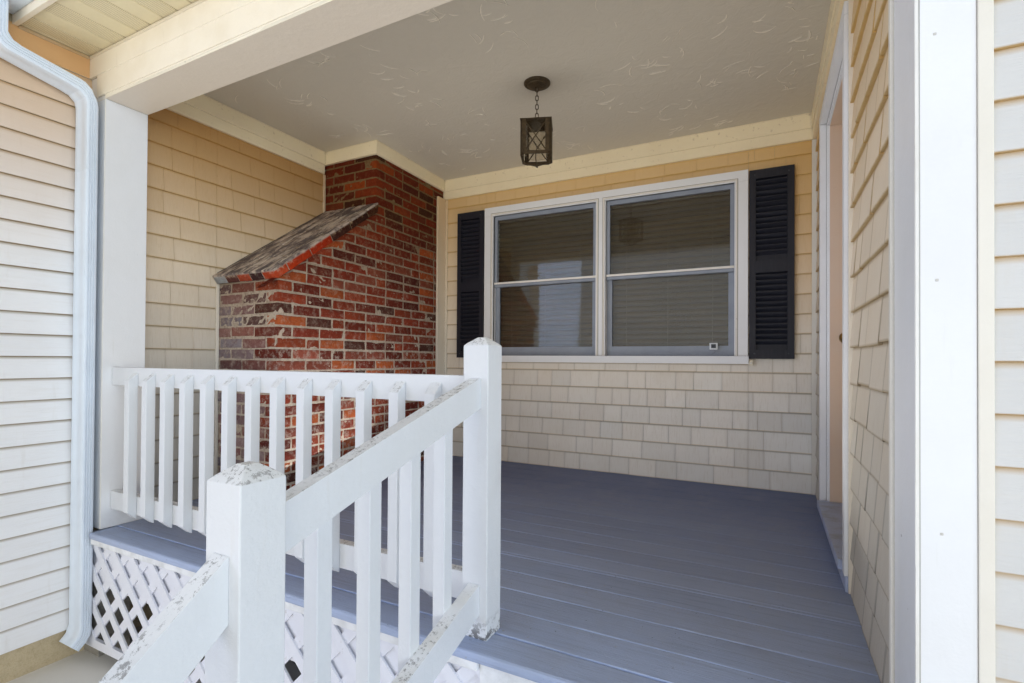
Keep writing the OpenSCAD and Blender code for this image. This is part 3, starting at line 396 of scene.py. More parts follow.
def addCamera():
    data = bpy.data.cameras.new("photoCamera")
    data.sensor_width = 36
    data.lens = photo["focalPixels"] / photo["width"] * data.sensor_width
    data.shift_x = (photo["width"] / 2 - photo["centreX"]) / photo["width"]
    data.shift_y = (photo["centreY"] - photo["height"] / 2) / photo["width"]
    camera = bpy.data.objects.new("photoCamera", data)
    bpy.context.collection.objects.link(camera)
    turn = Matrix.Rotation(photo["yaw"], 4, "Z") @ Matrix.Rotation(math.pi / 2 + photo["pitch"], 4, "X")
    turn = turn @ Matrix.Rotation(photo["roll"], 4, "Z")
    place = Vector(photo["camera"]) - Vector(porch["origin"]) / 1000
    camera.matrix_world = Matrix.Translation(place) @ turn
    bpy.context.scene.camera = camera


addCamera()
print("scene: camera placed")

# Wall shakes: straight courses of painted boards with vertical grain.
shakes = {
    "course": 129,
    "butt": 14,
    "top": 4,
    "thinnest": 1.2,
    "back": 0.2,
    "lip": (1.5, 1.6),  # depth and height of the rounded foot
    "toe": 9,
    "cover": 12,  # strip that the next course shades
    "narrow": 118,
    "wide": 252,
    "least": 45,
    "lowest": 4,
    "nearEdge": 30,
    "lap": 12,
    "slopeFoot": (679, 1955),
    "slopeDegrees": 35.44,
    "slopeEarly": 20,
    "slopeGap": 24,
    # Painted shade by corner of the profile: dark under the butt and in the strip under the next course,
    # made warm by the next entry.
    "shades": {0: 0.26, 1: 0.3, 5: 0.4, 6: 0.4},  # by corner of the profile
    "shadeWarmth": (1, 0.9, 0.74),
    "shadeSpread": (0.03, 0.008),
    "seed": 5,
}
shakePaint = makeFinish("shakePaint", {
    "colour": (246, 243, 236),
    "tinted": True,
    "roughness": 0.62,
    "layers": [
        streaks((150, 150, 5), 0.52, 0.72, (202, 190, 168), 0.28, detail=6, perPiece=True),
        streaks((420, 420, 16), 0.55, 0.75, (244, 238, 226), 0.25, detail=3, perPiece=True),
        blotches(3.2, 0.45, 0.8, (216, 208, 190), 0.25, detail=5),
        # Painted light: the side walls' shakes are darker and cooler low down.
        facing("X", 0.3, 0.7, (208, 212, 214), mode="MULTIPLY", times=[fade("Z", 2.1, 1.3)]),
        facing("X", -0.3, -0.7, (216, 212, 206), mode="MULTIPLY", times=[fade("Z", 1.9, 1.3)]),
        # Painted warm light on the upper right of the back wall.
        facing("Y", -0.3, -0.7, (210, 152, 74), 0.45, times=[fade("Z", 1.6, 2.4), fade("X", 1.0, 1.45)]),
        # Painted warm light, stronger towards the top.
        fade("Z", 1.1, 3.0, (224, 180, 98), 0.85),
        # Painted warm shade high on the left wall.
        fade("X", -1.8, -1.84, (176, 122, 56), 0.75, times=[fade("Z", 2.1, 3.0)]),
    ],
    "bumps": [
        grainRelief((210, 210, 7), 0.0016, detail=5, perPiece=True),
        unevenness(60, 0.0004, detail=3),
    ],
})
# A wall's own values stand before the usual ones.
usualWall = {
    "holes": [],
    "sloped": False,
    "strip": 14,
    "wave": 0.35,
    "stagger": 0.5,
    "gap": 1.4,
    "step": 0.5,
    # lower and ends: painted shade, on the butt's lower edge and along the joints at each shake's sides
    "lower": 0.9,
    "ends": 0.92,
}
shakeWalls = [
    {"start": (0, 211, 0), "along": (0, 1, 0), "out": (1, 0, 0), "length": 1291,
     "edges": [448], "sloped": True},
    {"start": (532, 2455, 0), "along": (1, 0, 0), "out": (0, -1, 0), "length": 2807,
     "edges": [395.5, 2436.5], "holes": [(395.5, 2436.5, 1462, 2770)]},
    {"start": (3373, 2421, 0), "along": (0, -1, 0), "out": (-1, 0, 0), "length": 2210,
     "edges": [467, 1511], "holes": [(467, 1511, 0, 2829)],
     # deeper painted shade under the butts and along the joints of the door wall
     "strip": 11, "stagger": 2.2, "gap": 3.4, "step": 1.7, "lower": 0.55, "ends": 0.6},
]


# Height of the chimney's sloped shoulder at a place along the wall, and so much above it.
def slopeLine(y, above):
    foot, low = shakes["slopeFoot"]
    return low + (y - foot) * math.tan(math.radians(shakes["slopeDegrees"])) + above


# Depth and height of the eight corners of a shake, at one place along it.
def shakeProfile(low, z0, z1, wave):
    fall = (shakes["butt"] - shakes["top"]) / shakes["course"]
    back = shakes["back"]
    lipDepth, lipHeight = shakes["lip"]
    cover = min(low + shakes["course"], z1 - 0.2)
    clear = max(min(cover - shakes["cover"], z1 - 0.4), z0 + 2)
    rise = min(z0 + shakes["toe"], (z0 + clear) / 2)

    def depth(z, share=0.6):
        return shakes["butt"] - fall * (z - low) + wave * share

    face = depth(z0, 1)
    return [(back, z0), (face - lipDepth, z0), (face, z0 + lipHeight),
            (face - 0.1, max(rise, z0 + lipHeight + 0.1)), (depth(clear), clear),
            (depth(cover), max(cover, clear)), (max(shakes["thinnest"], depth(z1)), z1), (back, z1)]


# Places of the joints between the shakes of one course.
def shakeJoints(wall, rng):
    stops = [0.0]
    while stops[-1] < wall["length"]:
        stops.append(stops[-1] + rng.uniform(shakes["narrow"], shakes["wide"]))
    stops[-1] = wall["length"]
    if stops[-1] - stops[-2] < shakes["least"]:
        stops.pop(-2)
    for edge in wall["edges"]:
        stops = [s for s in stops if abs(s - edge) > shakes["nearEdge"] or s in (0.0, wall["length"])]
        stops.append(edge)
    return sorted(stops)


# Foot and top of a shake, cut short where it meets a hole.
def cutAtHoles(wall, middle, low, bottom, top):
    for u0, u1, z0, z1 in wall["holes"]:
        if u0 < middle < u1 and low < z1 and top - shakes["lap"] > z0:
            if low < z0:
                top = z0
            elif z1 < top:
                bottom = z1
            else:
                top = bottom
    return bottom, top


def addShakeWall(heap, wall, rng):
    wall = {**usualWall, **wall}
    start, along, out = [np.array(wall[key], float) for key in ("start", "along", "out")]
    count = int(math.ceil((porch["wallTop"] - porch["deckTop"]) / shakes["course"]))
    for row in range(count):
        low = porch["deckTop"] + row * shakes["course"]
        high = min(low + shakes["course"] + shakes["lap"], porch["wallTop"])
        stops = shakeJoints(wall, rng)
        for a, b in zip(stops[:-1], stops[1:]):
            bottom = low + rng.normal(0, wall["stagger"])
            bottom, top = cutAtHoles(wall, (a + b) / 2, low, bottom, high)
            cuts = np.linspace(a + wall["gap"] / 2, b - wall["gap"] / 2,
                               max(2, int((b - a) / wall["strip"])) + 1)
            bottoms = np.full(len(cuts), bottom)
            if wall["sloped"]:
                y = cuts + start[1]
                beside = y > shakes["slopeFoot"][0] - shakes["slopeEarly"]
                bottoms = np.maximum(bottoms, np.where(beside, slopeLine(y, shakes["slopeGap"]), 0))
            if (top - bottoms).max() < shakes["lowest"]:
                continue
            tops = np.maximum(top, bottoms + 0.5)
            waves = rng.normal(0, wall["wave"], len(cuts)) + rng.uniform(-1, 1) * wall["step"]
            rings = []
            for u, z0, z1, wave in zip(cuts, bottoms, tops, waves):
                foot = start + along * u
                profile = shakeProfile(low, z0, z1, wave)
                rings.append([foot + out * d + np.array([0, 0, z]) for d, z in profile])
            corners = len(rings[0])
            tint = np.tile(pieceTint(rng, *shakes["shadeSpread"]), (len(rings) * corners, 1))
            # Painted shade: darker, warmer corners under the butt and in the strip below the next course.
            for k, share in {**shakes["shades"], 2: wall["lower"]}.items():
                tint[k::corners, :3] *= share * np.array(shakes["shadeWarmth"])
            # Painted shade along the joints: the shake's side edges are darker.
            tint[:corners, :3] *= wall["ends"]
            tint[-corners:, :3] *= wall["ends"]
            addLoft(heap, rings, tint)


# Clapboards of the wing and of the house front: long boards with a lip and a groove at every lap.
clapboards = {
    "course": 103.5,
    "foot": 140,
    "top": 2898,
    # depth, height from the board's foot or its top, share of the painted lap shade
    "lower": [(0.2, 0, 1), (11.5, 0, 1), (13.6, 0.6, 0.5), (14, 3, 0)],
    "middle": 9.7,
    "upper": [(5.4, -16, 0), (4.7, -7, 0.55), (4, -2.5, 0.8), (2.4, 0, 1.1), (0.2, 0, 1.1)],
    "step": 70,
    "wave": 0.14,
    "shadeSpread": 0.012,
    "walls": [
        # lap: colour of the painted shade under the laps of each wall
        {"start": (0, -700, 0), "along": (0, 1, 0), "out": (1, 0, 0), "length": 700,
         "lap": (0.34, 0.25, 0.13)},
        {"start": (3489, 14, 0), "along": (1, 0, 0), "out": (0, -1, 0), "length": 400,
         "lap": (0.72, 0.5, 0.24)},
    ],
}
clapboardVinyl = makeFinish("clapboardVinyl", {
    "colour": (244, 244, 245),
    "tinted": True,
    "roughness": 0.5,
    "specular": 0.4,
    "layers": [
        # Painted shade: faces towards the front are a little darker.
        facing("Y", -0.5, -0.8, (222, 222, 220), mode="MULTIPLY"),
        streaks((6, 6, 90), 0.5, 0.75, (222, 216, 206), 0.2, detail=5),
        streaks((26, 26, 2.5), 0.58, 0.8, (206, 196, 180), 0.25, detail=6),
        # Painted warm shade on the wing's upper boards.
        fade("Z", 1.9, 2.9, (212, 176, 134), 0.95, times=[facing("X", 0.3, 0.7)]),
    ],
    "bumps": [grainRelief((12, 12, 240), 0.0005)],
})


def addClapboards(heap, wall, rng):
    start, along, out = [np.array(wall[key], float) for key in ("start", "along", "out")]
    c = clapboards
    low = c["foot"]
    while low < c["top"] - 5:
        high = min(low + c["course"], c["top"])
        section = [(d, low + dz, lap) for d, dz, lap in c["lower"]]
        section.append((c["middle"], (low + high) / 2, 0))
        section += [(d, high + dz, lap) for d, dz, lap in c["upper"]]
        stops = np.linspace(0, wall["length"], max(3, int(wall["length"] / c["step"])))
        waves = rng.normal(0, c["wave"], len(stops))
        rings = []
        for u, wave in zip(stops, waves):
            foot = start + along * u
            rings.append([foot + out * max(d + wave, 0.1) + np.array([0, 0, z]) for d, z, lap in section])
        level = 1 + rng.normal(0, c["shadeSpread"])
        # The shade under each lap is painted into the tint.
        laps = np.array([lap for d, z, lap in section])[:, None]
        shades = level * (1 + laps * (np.array([wall["lap"]]) - 1))
        tint = np.tile(np.hstack([np.clip(shades, 0.05, 1.1), laps * 0]), (len(stops), 1))
        addLoft(heap, rings, tint)
        low = high


clapboardHeap = newHeap()
clapboardRng = np.random.default_rng(6)
for clapboardWall in clapboards["walls"]:
    addClapboards(clapboardHeap, clapboardWall, clapboardRng)
makePiece(clapboardHeap, "lappedClapboards", clapboardVinyl, ["clapboards"],
          smoothAngle=28)

shakeHeap = newHeap()
shakeRng = np.random.default_rng(shakes["seed"])
for shakeWall in shakeWalls:
    addShakeWall(shakeHeap, shakeWall, shakeRng)
makePiece(shakeHeap, "wallShakes", shakePaint, ["shingles"], smoothAngle=25)
print("scene: wall shakes done")

# Chimney bricks: courses of separate uneven bricks over a mortar core.
bricks = {
    "course": 67,
    "bed": 5,
    "long": 203,
    "short": 97,
    "height": 55,
    "joint": 12,
    "depth": 60,
    "cells": (5, 4, 3),
    "radius": 3.2,
    "rough": 0.8,
    "shift": 1.3,
    "shiftShares": (0, 1.4, 1),
    "chipChance": 0.45,
    "chipReach": 22,
    "chipDepth": (0.03, 0.12),
    "halfChance": 0.1,
    "lowest": 24,  # a brick that the slope cuts lower than this is left out
    "slopeStep": 213,
    "slopeOdd": 106,
    "endGap": 25,
    "seed": 21,
    "colours": [(148, 66, 46), (132, 56, 42), (160, 76, 50), (116, 50, 40), (142, 62, 46), (124, 60, 50),
                (152, 70, 48), (104, 50, 44), (184, 96, 56), (134, 58, 44), (88, 56, 50), (146, 80, 66)],
    "shadeSpread": 0.12,
    "frontTones": [(126, 122, 134), (158, 116, 110), (112, 92, 94), (176, 160, 164), (146, 132, 138)],
    "frontShare": (0.45, 0.9),
    "frontWash": 0.3,
    "washes": (0.36, 0.2, 0.1),  # of the low, middle and high courses
}
# What is left of a pale paint at the front's left edge.
oldPaint = {
    "colour": (128, 134, 152),
    "foot": 900,
    "width": 110,
    "lean": 0.2,
    "amount": (0.6, 1.1),
    "strength": 0.9,
}
chimney = {
    "hearth": 679,
    "stack": 1522,
    "back": 2455,
    "baseWidth": 556,
    "backWidth": 492,
    "shoulderLow": 1955,
    "shoulderHigh": 2555,
    "slack": 5,
    "darkTop": 1500,
    "roofTop": 3540,
    "top": 4447,
}
taper = (chimney["baseWidth"] - chimney["backWidth"]) / (chimney["back"] - chimney["hearth"])
slopeAngle = math.atan2(chimney["shoulderHigh"] - chimney["shoulderLow"],
                        chimney["stack"] - chimney["hearth"])


def sideFace(y):
    return chimney["baseWidth"] - (y - chimney["hearth"]) * taper


def shoulderHeight(y):
    rise = (y - chimney["hearth"]) * math.tan(slopeAngle)
    return np.where(y < chimney["stack"], chimney["shoulderLow"] + rise, chimney["top"])


def underShoulder(z):
    return z < chimney["shoulderHigh"] - chimney["slack"]


brickHeap = newHeap()
mortarHeap = newHeap()
brickRng = np.random.default_rng(bricks["seed"])


def brickTint(rng, wash):
    colour = np.array(linear(bricks["colours"][rng.integers(len(bricks["colours"]))]))
    colour = colour * (1 + rng.normal(0, bricks["shadeSpread"]))
    colour[3] = wash
    return colour


def leanTo(tint, tone, share):
    tint[:3] += (np.array(linear(tone))[:3] - tint[:3]) * share


# A brick between two corners, with x as the distance inside the chimney's open side.
def addBrick(low, high, wash, rng, leftSide=False, paint=0.0, frontFace=False):
    shift = rng.normal(0, bricks["shift"], 3) * bricks["shiftShares"]
    points, faces = roundedBlock(low + shift, high + shift, bricks["cells"], bricks["radius"],
                                 bricks["rough"], rng)
    centre = points.mean(axis=0)
    if rng.uniform() < bricks["chipChance"]:
        corner = points[rng.integers(len(points))]
        near = np.exp(-(np.linalg.norm(points - corner, axis=1) / bricks["chipReach"]) ** 2)
        points += (centre - points) * (near * rng.uniform(*bricks["chipDepth"]))[:, None]
    if not leftSide:
        points[:, 0] += sideFace(points[:, 1])
    points[:, 0] = np.maximum(points[:, 0], -0.5)
    if underShoulder(low[2]):
        points[:, 2] = np.minimum(points[:, 2], shoulderHeight(points[:, 1]) - 1)
    if np.ptp(points[:, 2]) < bricks["lowest"]:
        return
    tint = brickTint(rng, wash)
    leanTo(tint, oldPaint["colour"], min(paint, 1) * oldPaint["strength"])
    if frontFace:
        tone = bricks["frontTones"][rng.integers(len(bricks["frontTones"]))]
        leanTo(tint, tone, rng.uniform(*bricks["frontShare"]))
        tint[3] = bricks["frontWash"]
    addShape(brickHeap, points, faces, tint)


def paintAmount(x, z, width, rng):
    above = z - oldPaint["foot"]
    if above > 0 and x < -width + oldPaint["width"] + oldPaint["lean"] * above:
        return rng.uniform(*oldPaint["amount"])
    return 0


# One course: the corner brick, the front face and the open side.
def addRow(z, startY, odd, wash, rng):
    top = z + bricks["height"]
    first, lead = (bricks["long"], bricks["short"]) if odd else (bricks["short"], bricks["long"])
    if chimney["shoulderLow"] - chimney["slack"] < z and underShoulder(z):
        run = (z - chimney["shoulderLow"]) / math.tan(slopeAngle)
        y = chimney["hearth"] + math.floor(run / bricks["slopeStep"]) * bricks["slopeStep"]
        if odd:
            y -= bricks["slopeOdd"]
    else:
        addBrick((-lead, startY, z), (0, startY + first, top), wash, rng)
        y = startY + first + bricks["joint"]
        x = -lead - bricks["joint"]
        width = sideFace(startY)
        atFront = startY == chimney["hearth"]
        while x > -width + 20:
            end = max(x - bricks["long"], -width)
            paint = paintAmount(x, z, width, rng) if atFront else 0
            addBrick((end, startY, z), (x, startY + bricks["depth"], top), wash, rng, paint=paint,
                     frontFace=atFront)
            x = end - bricks["joint"]
    while y < chimney["back"] - bricks["endGap"]:
        length = bricks["short"] if rng.uniform() < bricks["halfChance"] else bricks["long"]
        end = min(y + length, chimney["back"])
        addBrick((-bricks["depth"], y, z), (0, end, top), wash, rng)
        y = end + bricks["joint"]


# Starts and ends of the bricks in a run, up to a limit.
def brickRun(start, last, limit, size):
    while start < last:
        end = min(start + size, limit)
        yield start, end
        start = end + bricks["joint"]
        size = bricks["long"]


# The stack above the roof also shows its left and rear faces.
def addHiddenFaces(z, odd, wash, rng):
    top = z + bricks["height"]
    first = bricks["short"] if odd else bricks["long"]
    depth = bricks["depth"]
    inner = depth + bricks["joint"]
    back, width = chimney["back"], chimney["backWidth"]
    for y, end in brickRun(chimney["stack"] + inner, back - bricks["endGap"], back, first):
        addBrick((0, y, z), (depth, end, top), wash, rng, leftSide=True)
    for x, end in brickRun(inner, width - depth - 30, width - inner, first):
        addBrick((x, back - depth, z), (end, back, top), wash, rng, leftSide=True)


for course in range(int(chimney["top"] / bricks["course"])):
    z = course * bricks["course"] + bricks["bed"]
    if porch["ceiling"] + 20 < z < chimney["roofTop"]:
        continue
    low = underShoulder(z)
    wash = bricks["washes"][0 if z < chimney["darkTop"] else (1 if low else 2)]
    addRow(z, chimney["hearth"] if low else chimney["stack"], course % 2 == 1, wash, brickRng)
    if z > chimney["roofTop"]:
        addHiddenFaces(z, course % 2 == 1, wash, brickRng)

# Sloped bricks on the shoulder: five rows running up the slope, washed with mortar on top.
capping = {
    "rows": 5,
    "out": 22,
    "thick": 57,
    "start": 18.3,
    "joint": 9,
    "endJoint": 8,
    "beyond": 40,
    "halves": (2, 4),  # rows that begin with half a brick
    "cells": (4, 6, 4),
    "radius": 5,
    "rough": 0.8,
    "topSkin": 9,
    "washes": (0.97, 0.12),  # of the top and of the other faces
    "edge": [(206, 84, 50), (196, 66, 30), (190, 60, 28), (70, 40, 38), (62, 38, 36), (82, 50, 42),
             (120, 70, 52)],
    "front": [(182, 196, 216), (104, 66, 66), (196, 88, 62), (66, 48, 54)],
    "lumps": (120, 0.8),  # size and height
    "mortarCells": (40, 80, 5),
    "mortarLumps": (45, 1.3),
    "mortarRough": 0.5,
}


def onSlope(points):
    x, s, t = points[:, 0], points[:, 1], points[:, 2]
    y = chimney["hearth"] + s * math.cos(slopeAngle) - t * math.sin(slopeAngle)
    z = chimney["shoulderLow"] + s * math.sin(slopeAngle) + t * math.cos(slopeAngle)
    full = chimney["baseWidth"] + capping["out"] - capping["start"]
    narrow = (full - (y - chimney["hearth"]) * taper) / full
    x = capping["start"] + (x - capping["start"]) * narrow
    over = np.maximum(y - chimney["stack"], 0)
    return np.column_stack([x, y - over, z - over * math.tan(slopeAngle)])


def addCapping(rng):
    c = capping
    width = chimney["baseWidth"] + c["out"] - c["start"]
    pitch = width / c["rows"]
    length = (chimney["stack"] - chimney["hearth"]) / math.cos(slopeAngle) + c["beyond"]
    for row in range(c["rows"]):
        outer = row == c["rows"] - 1
        s = -c["out"]
        n = 0
        while s < length - 20:
            size = bricks["short"] if n == 0 and row in c["halves"] else bricks["long"]
            end = min(s + size, length)
            low = (c["start"] + row * pitch, s, 0)
            high = (c["start"] + (row + 1) * pitch - (0 if outer else c["joint"]), end, c["thick"])
            points, faces = roundedBlock(low, high, c["cells"], c["radius"], c["rough"], rng)
            size, lump = c["lumps"]
            points[:, 2] += ripple(points, size, rng, 4) * lump
            tone = c["edge"][min(n, 6)] if outer else bricks["colours"][rng.integers(12)]
            if n == 0 and not outer:
                tone = c["front"][row]
            tints = np.empty((len(points), 4))
            tints[:, :3] = linear(tone)[:3]
            tints[:, 3] = np.where(points[:, 2] > c["thick"] - c["topSkin"], *c["washes"])
            addShape(brickHeap, onSlope(points), faces, tints)
            s = end + c["endJoint"]
            n += 1
    low = (c["start"] + 2, -c["out"] + 5, 1)
    high = (c["start"] + width - 5, length - 4, c["thick"] - 3)
    points, faces = roundedBlock(low, high, c["mortarCells"], c["radius"], c["mortarRough"], rng)
    size, lump = c["mortarLumps"]
    points[:, 2] += ripple(points, size, rng) * lump
    addShape(mortarHeap, onSlope(points), faces)


addCapping(brickRng)
brickFace = makeFinish("brickFace", {
    "colour": (255, 255, 255),
    "tinted": True,
    "roughness": 0.88,
    "specular": 0.25,
    "layers": [
        blotches(34, 0.46, 0.7, (98, 42, 32), 0.4, detail=7),
        blotches(120, 0.6, 0.72, (58, 34, 28), 0.5),
        blotches(80, 0.63, 0.76, (222, 168, 132), 0.45, detail=5),
        brickWash(0.05, 0.45, (202, 190, 180), times=[blotches(26, 0.5, 0.66, detail=9, grit=0.75)]),
        blotches(30, 0.63, 0.7, (206, 196, 184), 0.8, detail=9, grit=0.75,
                 times=[blotches(1.6, 0.45, 0.58, detail=2)]),
        # Painted warm light, rising from 1.3 m and ending at the ceiling.
        fade("Z", 1.3, 2.6, (208, 180, 128), mode="MULTIPLY", times=[fade("Z", 3.3, 3.1)]),
        brickWash(0.6, 0.95, (202, 184, 168)),
        brickWash(0.6, 0.95, (84, 74, 76), 0.9,
                  times=[streaks((15, 5, 6), 0.43, 0.56, detail=9, grit=0.7)]),
        brickWash(0.6, 0.95, (220, 208, 190), 0.85,
                  times=[streaks((24, 7, 8), 0.56, 0.64, detail=8, grit=0.7)]),
    ],
    "bumps": [
        unevenness(120, 0.0028, detail=6),
        unevenness(420, 0.0009, detail=3, low=0.35, high=0.65),
    ],
})
makePiece(brickHeap, "chimneyBricks", brickFace, ["chimney"], smoothAngle=50)


mortar = {
    "inset": 2.3,
    "backInset": 3,
    "cell": 0.019,
    "lumps": 46,
    "lumpHeight": 1.25,
    "grain": 0.6,
    "seed": 8,
}


def addMortarCore():
    inset = mortar["inset"]
    front, step = chimney["hearth"] + inset, chimney["stack"] + inset
    back = chimney["back"] - mortar["backInset"]
    profile = [(front, 0), (front, chimney["shoulderLow"]), (step, chimney["shoulderHigh"] - inset),
               (step, chimney["top"]), (back, chimney["top"]), (back, 0)]
    rings = [[(2, y, z) for y, z in profile], [(sideFace(y) - inset, y, z) for y, z in profile]]
    heap = newHeap()
    addLoft(heap, rings)
    points = (np.concatenate(heap["points"]) - porch["origin"]) / 1000
    rough = bpy.data.meshes.new("mortarRough")
    rough.from_pydata(points.tolist(), [], heap["faces"])
    holder = bpy.data.objects.new("mortarRough", rough)
    bpy.context.collection.objects.link(holder)
    cells = holder.modifiers.new("cells", "REMESH")
    cells.mode = "VOXEL"
    cells.voxel_size = mortar["cell"]
    shaped = holder.evaluated_get(bpy.context.evaluated_depsgraph_get())
    mesh = bpy.data.meshes.new_from_object(shaped)
    bpy.data.objects.remove(holder)
    bpy.data.meshes.remove(rough)
    count = len(mesh.vertices)
    spots = np.empty(count * 3, np.float32)
    mesh.vertices.foreach_get("co", spots)
    normals = np.empty(count * 3, np.float32)
    mesh.vertex_normals.foreach_get("vector", normals)
    spots = spots.reshape(-1, 3).astype(float)
    rng = np.random.default_rng(mortar["seed"])
    lift = ripple(spots * 1000, mortar["lumps"], rng, 14) * mortar["lumpHeight"]
    lift += rng.normal(0, mortar["grain"], count)
    spots += normals.reshape(-1, 3) * (lift / 1000)[:, None]
    spots[:, 2] = np.maximum(spots[:, 2], 0.001)
    mesh.vertices.foreach_set("co", spots.astype(np.float32).ravel())
    return mesh


mortarJoint = makeFinish("mortarJoint", {
    "colour": (206, 190, 174),
    "roughness": 0.95,
    "specular": 0.2,
    "layers": [
        blotches(9, 0.4, 0.7, (226, 218, 206), 0.5, detail=5),
        blotches(60, 0.45, 0.7, (138, 118, 104), 0.6, detail=5),
        # Painted warm light, rising from 1.3 m and ending at the ceiling.
        fade("Z", 1.3, 2.6, (158, 138, 104), mode="MULTIPLY", times=[fade("Z", 3.3, 3.1)]),
    ],
    "bumps": [unevenness(260, 0.0018, detail=5)],
})
finishPiece(addMortarCore(), "mortarCore", mortarJoint, ["chimney"], "house", 60)
makePiece(mortarHeap, "cappingMortar", mortarJoint, ["chimney"], smoothAngle=60)
print("scene: chimney done")

# Deck boards run across the porch, and the steps have the same boards with painted risers.
deck = {
    "boardPitch": 145,
    "boardGap": 2.4,
    "firstSeam": 75,
    "top": 630,
    "bottom": 598,
    "front": -50,
    "edge": 3.2,
    "nosing": 9,
    "step": 70,
    "rough": 0.22,
    "cup": (-0.5, 0.7),
    "sag": 0.4,
    "wave": (500, 0.2),  # size and height
    "shadeSpread": (0.035, 0.006),
    "paleEdges": 1.4,  # paler top edges along the seams
    "seed": 31,
}

deckPaint = makeFinish("deckPaint", {
    "colour": (170, 184, 214),
    "tinted": True,
    "roughness": 0.5,
    "specular": 0.45,
    "layers": [
        # Painted reflection and shade: paler and bluer near the front, darker towards the back.
        fade("Y", -0.7, 1.3, (102, 116, 158)),
        streaks((5, 110, 110), 0.5, 0.72, (100, 106, 128), 0.3, detail=6, perPiece=True, roughness=0.62),
        blotches(7, 0.48, 0.72, (160, 164, 178), 0.25, detail=6, roughness=0.7),
        blotches(55, 0.68, 0.74, (158, 152, 144), 0.75, detail=5),
        blotches(85, 0.71, 0.75, (52, 46, 42), 0.8, detail=3),
    ],
    "bumps": [
        grainRelief((9, 190, 190), 0.0008, detail=5, perPiece=True),
        unevenness(130, 0.0004, detail=3),
    ],
})


def addDeckBoard(heap, x0, x1, y0, y1, top, bottom, rng, edge=None):
    cells = (max(3, int((x1 - x0) / deck["step"])), 5, 3)
    points, faces = roundedBlock((x0, y0, bottom), (x1, y1, top), cells, edge or deck["edge"],
                                 deck["rough"], rng)
    up = points[:, 2] > top - 10
    cup = ((points[:, 1] - y0) / (y1 - y0) - 0.5) ** 2 * rng.uniform(*deck["cup"])
    size, high = deck["wave"]
    points[:, 2] += up * (cup - deck["sag"] + ripple(points, size, rng, 5) * high)
    tint = np.tile(pieceTint(rng, *deck["shadeSpread"]), (len(points), 1))
    # The board's top edges along its long sides are made paler.
    worn = up & (((points[:, 1] < y0 + 2) & (edge is None)) | (points[:, 1] > y1 - 2))
    tint[worn, :3] *= deck["paleEdges"]
    addShape(heap, points, faces, tint)


def addDeckBoards(heap, rng):

    seams = [deck["front"]]
    y = deck["firstSeam"]
    while y < porch["backFace"] - 20:
        seams.append(y)
        y += deck["boardPitch"]
    seams.append(porch["backFace"])
    for y0, y1 in zip(seams[:-1], seams[1:]):
        x0 = 0
        x1 = porch["rightFace"]
        if y0 < 0:
            x0 = porch["skirtStart"]
            x1 = porch["clapboard"]
        elif y0 < porch["beamDepth"] - 5:
            x1 = porch["frontWall"]
        edge = deck["nosing"] if y0 == deck["front"] else None
        high = y1 - (deck["boardGap"] if y1 < porch["backFace"] else 0)
        if y1 < chimney["hearth"] + 4:
            spans = [(x0, y0, high, edge)]
        elif y0 < chimney["hearth"]:
            corner = chimney["hearth"] - 1
            spans = [(x0, y0, corner, edge), (sideFace(y0), corner, high, None)]
        else:
            spans = [(sideFace(y0) - 2, y0, high, None)]
        for left, near, far, rounding in spans:
            addDeckBoard(heap, left, x1, near, far, deck["top"], deck["bottom"], rng, rounding)


deckHeap = newHeap()
deckRng = np.random.default_rng(deck["seed"])
addDeckBoards(deckHeap, deckRng)
makePiece(deckHeap, "deckBoards", deckPaint, ["deck_floor"], smoothAngle=12)

steps = {
    "left": 2332,
    "right": 3489,
    "boardThick": 32,
    "gap": 3,
    "nosing": 8,

    "treads": [(-800, -25, 420, 5), (-1075, -775, 210, 2)],  # front, back, top, boards
    "risers": [(-24.7, -7, 388, 598), (-774.7, -757, 178, 387.7), (-1050, -1032, 0, 177.7)],
}
treadHeap = newHeap()
for front, back, top, count in steps["treads"]:
    pitch = (back - front) / count
    for k in range(count):
        gap = steps["gap"] if k < count - 1 else 0
        addDeckBoard(treadHeap, steps["left"], steps["right"], front + k * pitch,
                     front + (k + 1) * pitch - gap, top, top - steps["boardThick"], deckRng,
                     steps["nosing"] if k == 0 else None)
makePiece(treadHeap, "stepTreads", deckPaint, ["steps"], smoothAngle=12)
whitePaint = makeFinish("whitePaint", {
    "colour": (238, 240, 243),
    "roughness": 0.42,
    "specular": 0.45,
    "layers": [
        blotches(2.2, 0.45, 0.75, (220, 220, 218), 0.3, detail=6),
        streaks((40, 40, 5), 0.62, 0.8, (206, 202, 194), 0.2, detail=5),
        # Painted shade in corners and between parts.
        paintedCornerShade(0.02, 0.7, 0.25, (128, 122, 114), 0.5),
        facing("Z", 0.5, 0.8, (122, 120, 120), 0.85, times=[blotches(46, 0.57, 0.6, detail=9, grit=0.72)]),
        blotches(21, 0.705, 0.72, (120, 116, 112), 0.75, detail=9, grit=0.7),
        fade("Z", 0.72, 0.6, (150, 150, 146), 0.3, times=[blotches(12, 0.4, 0.62, detail=6)]),
    ],
    "bumps": [
        unevenness(14, 0.0008, detail=5),
        unevenness(120, 0.0002, detail=3),
    ],
})
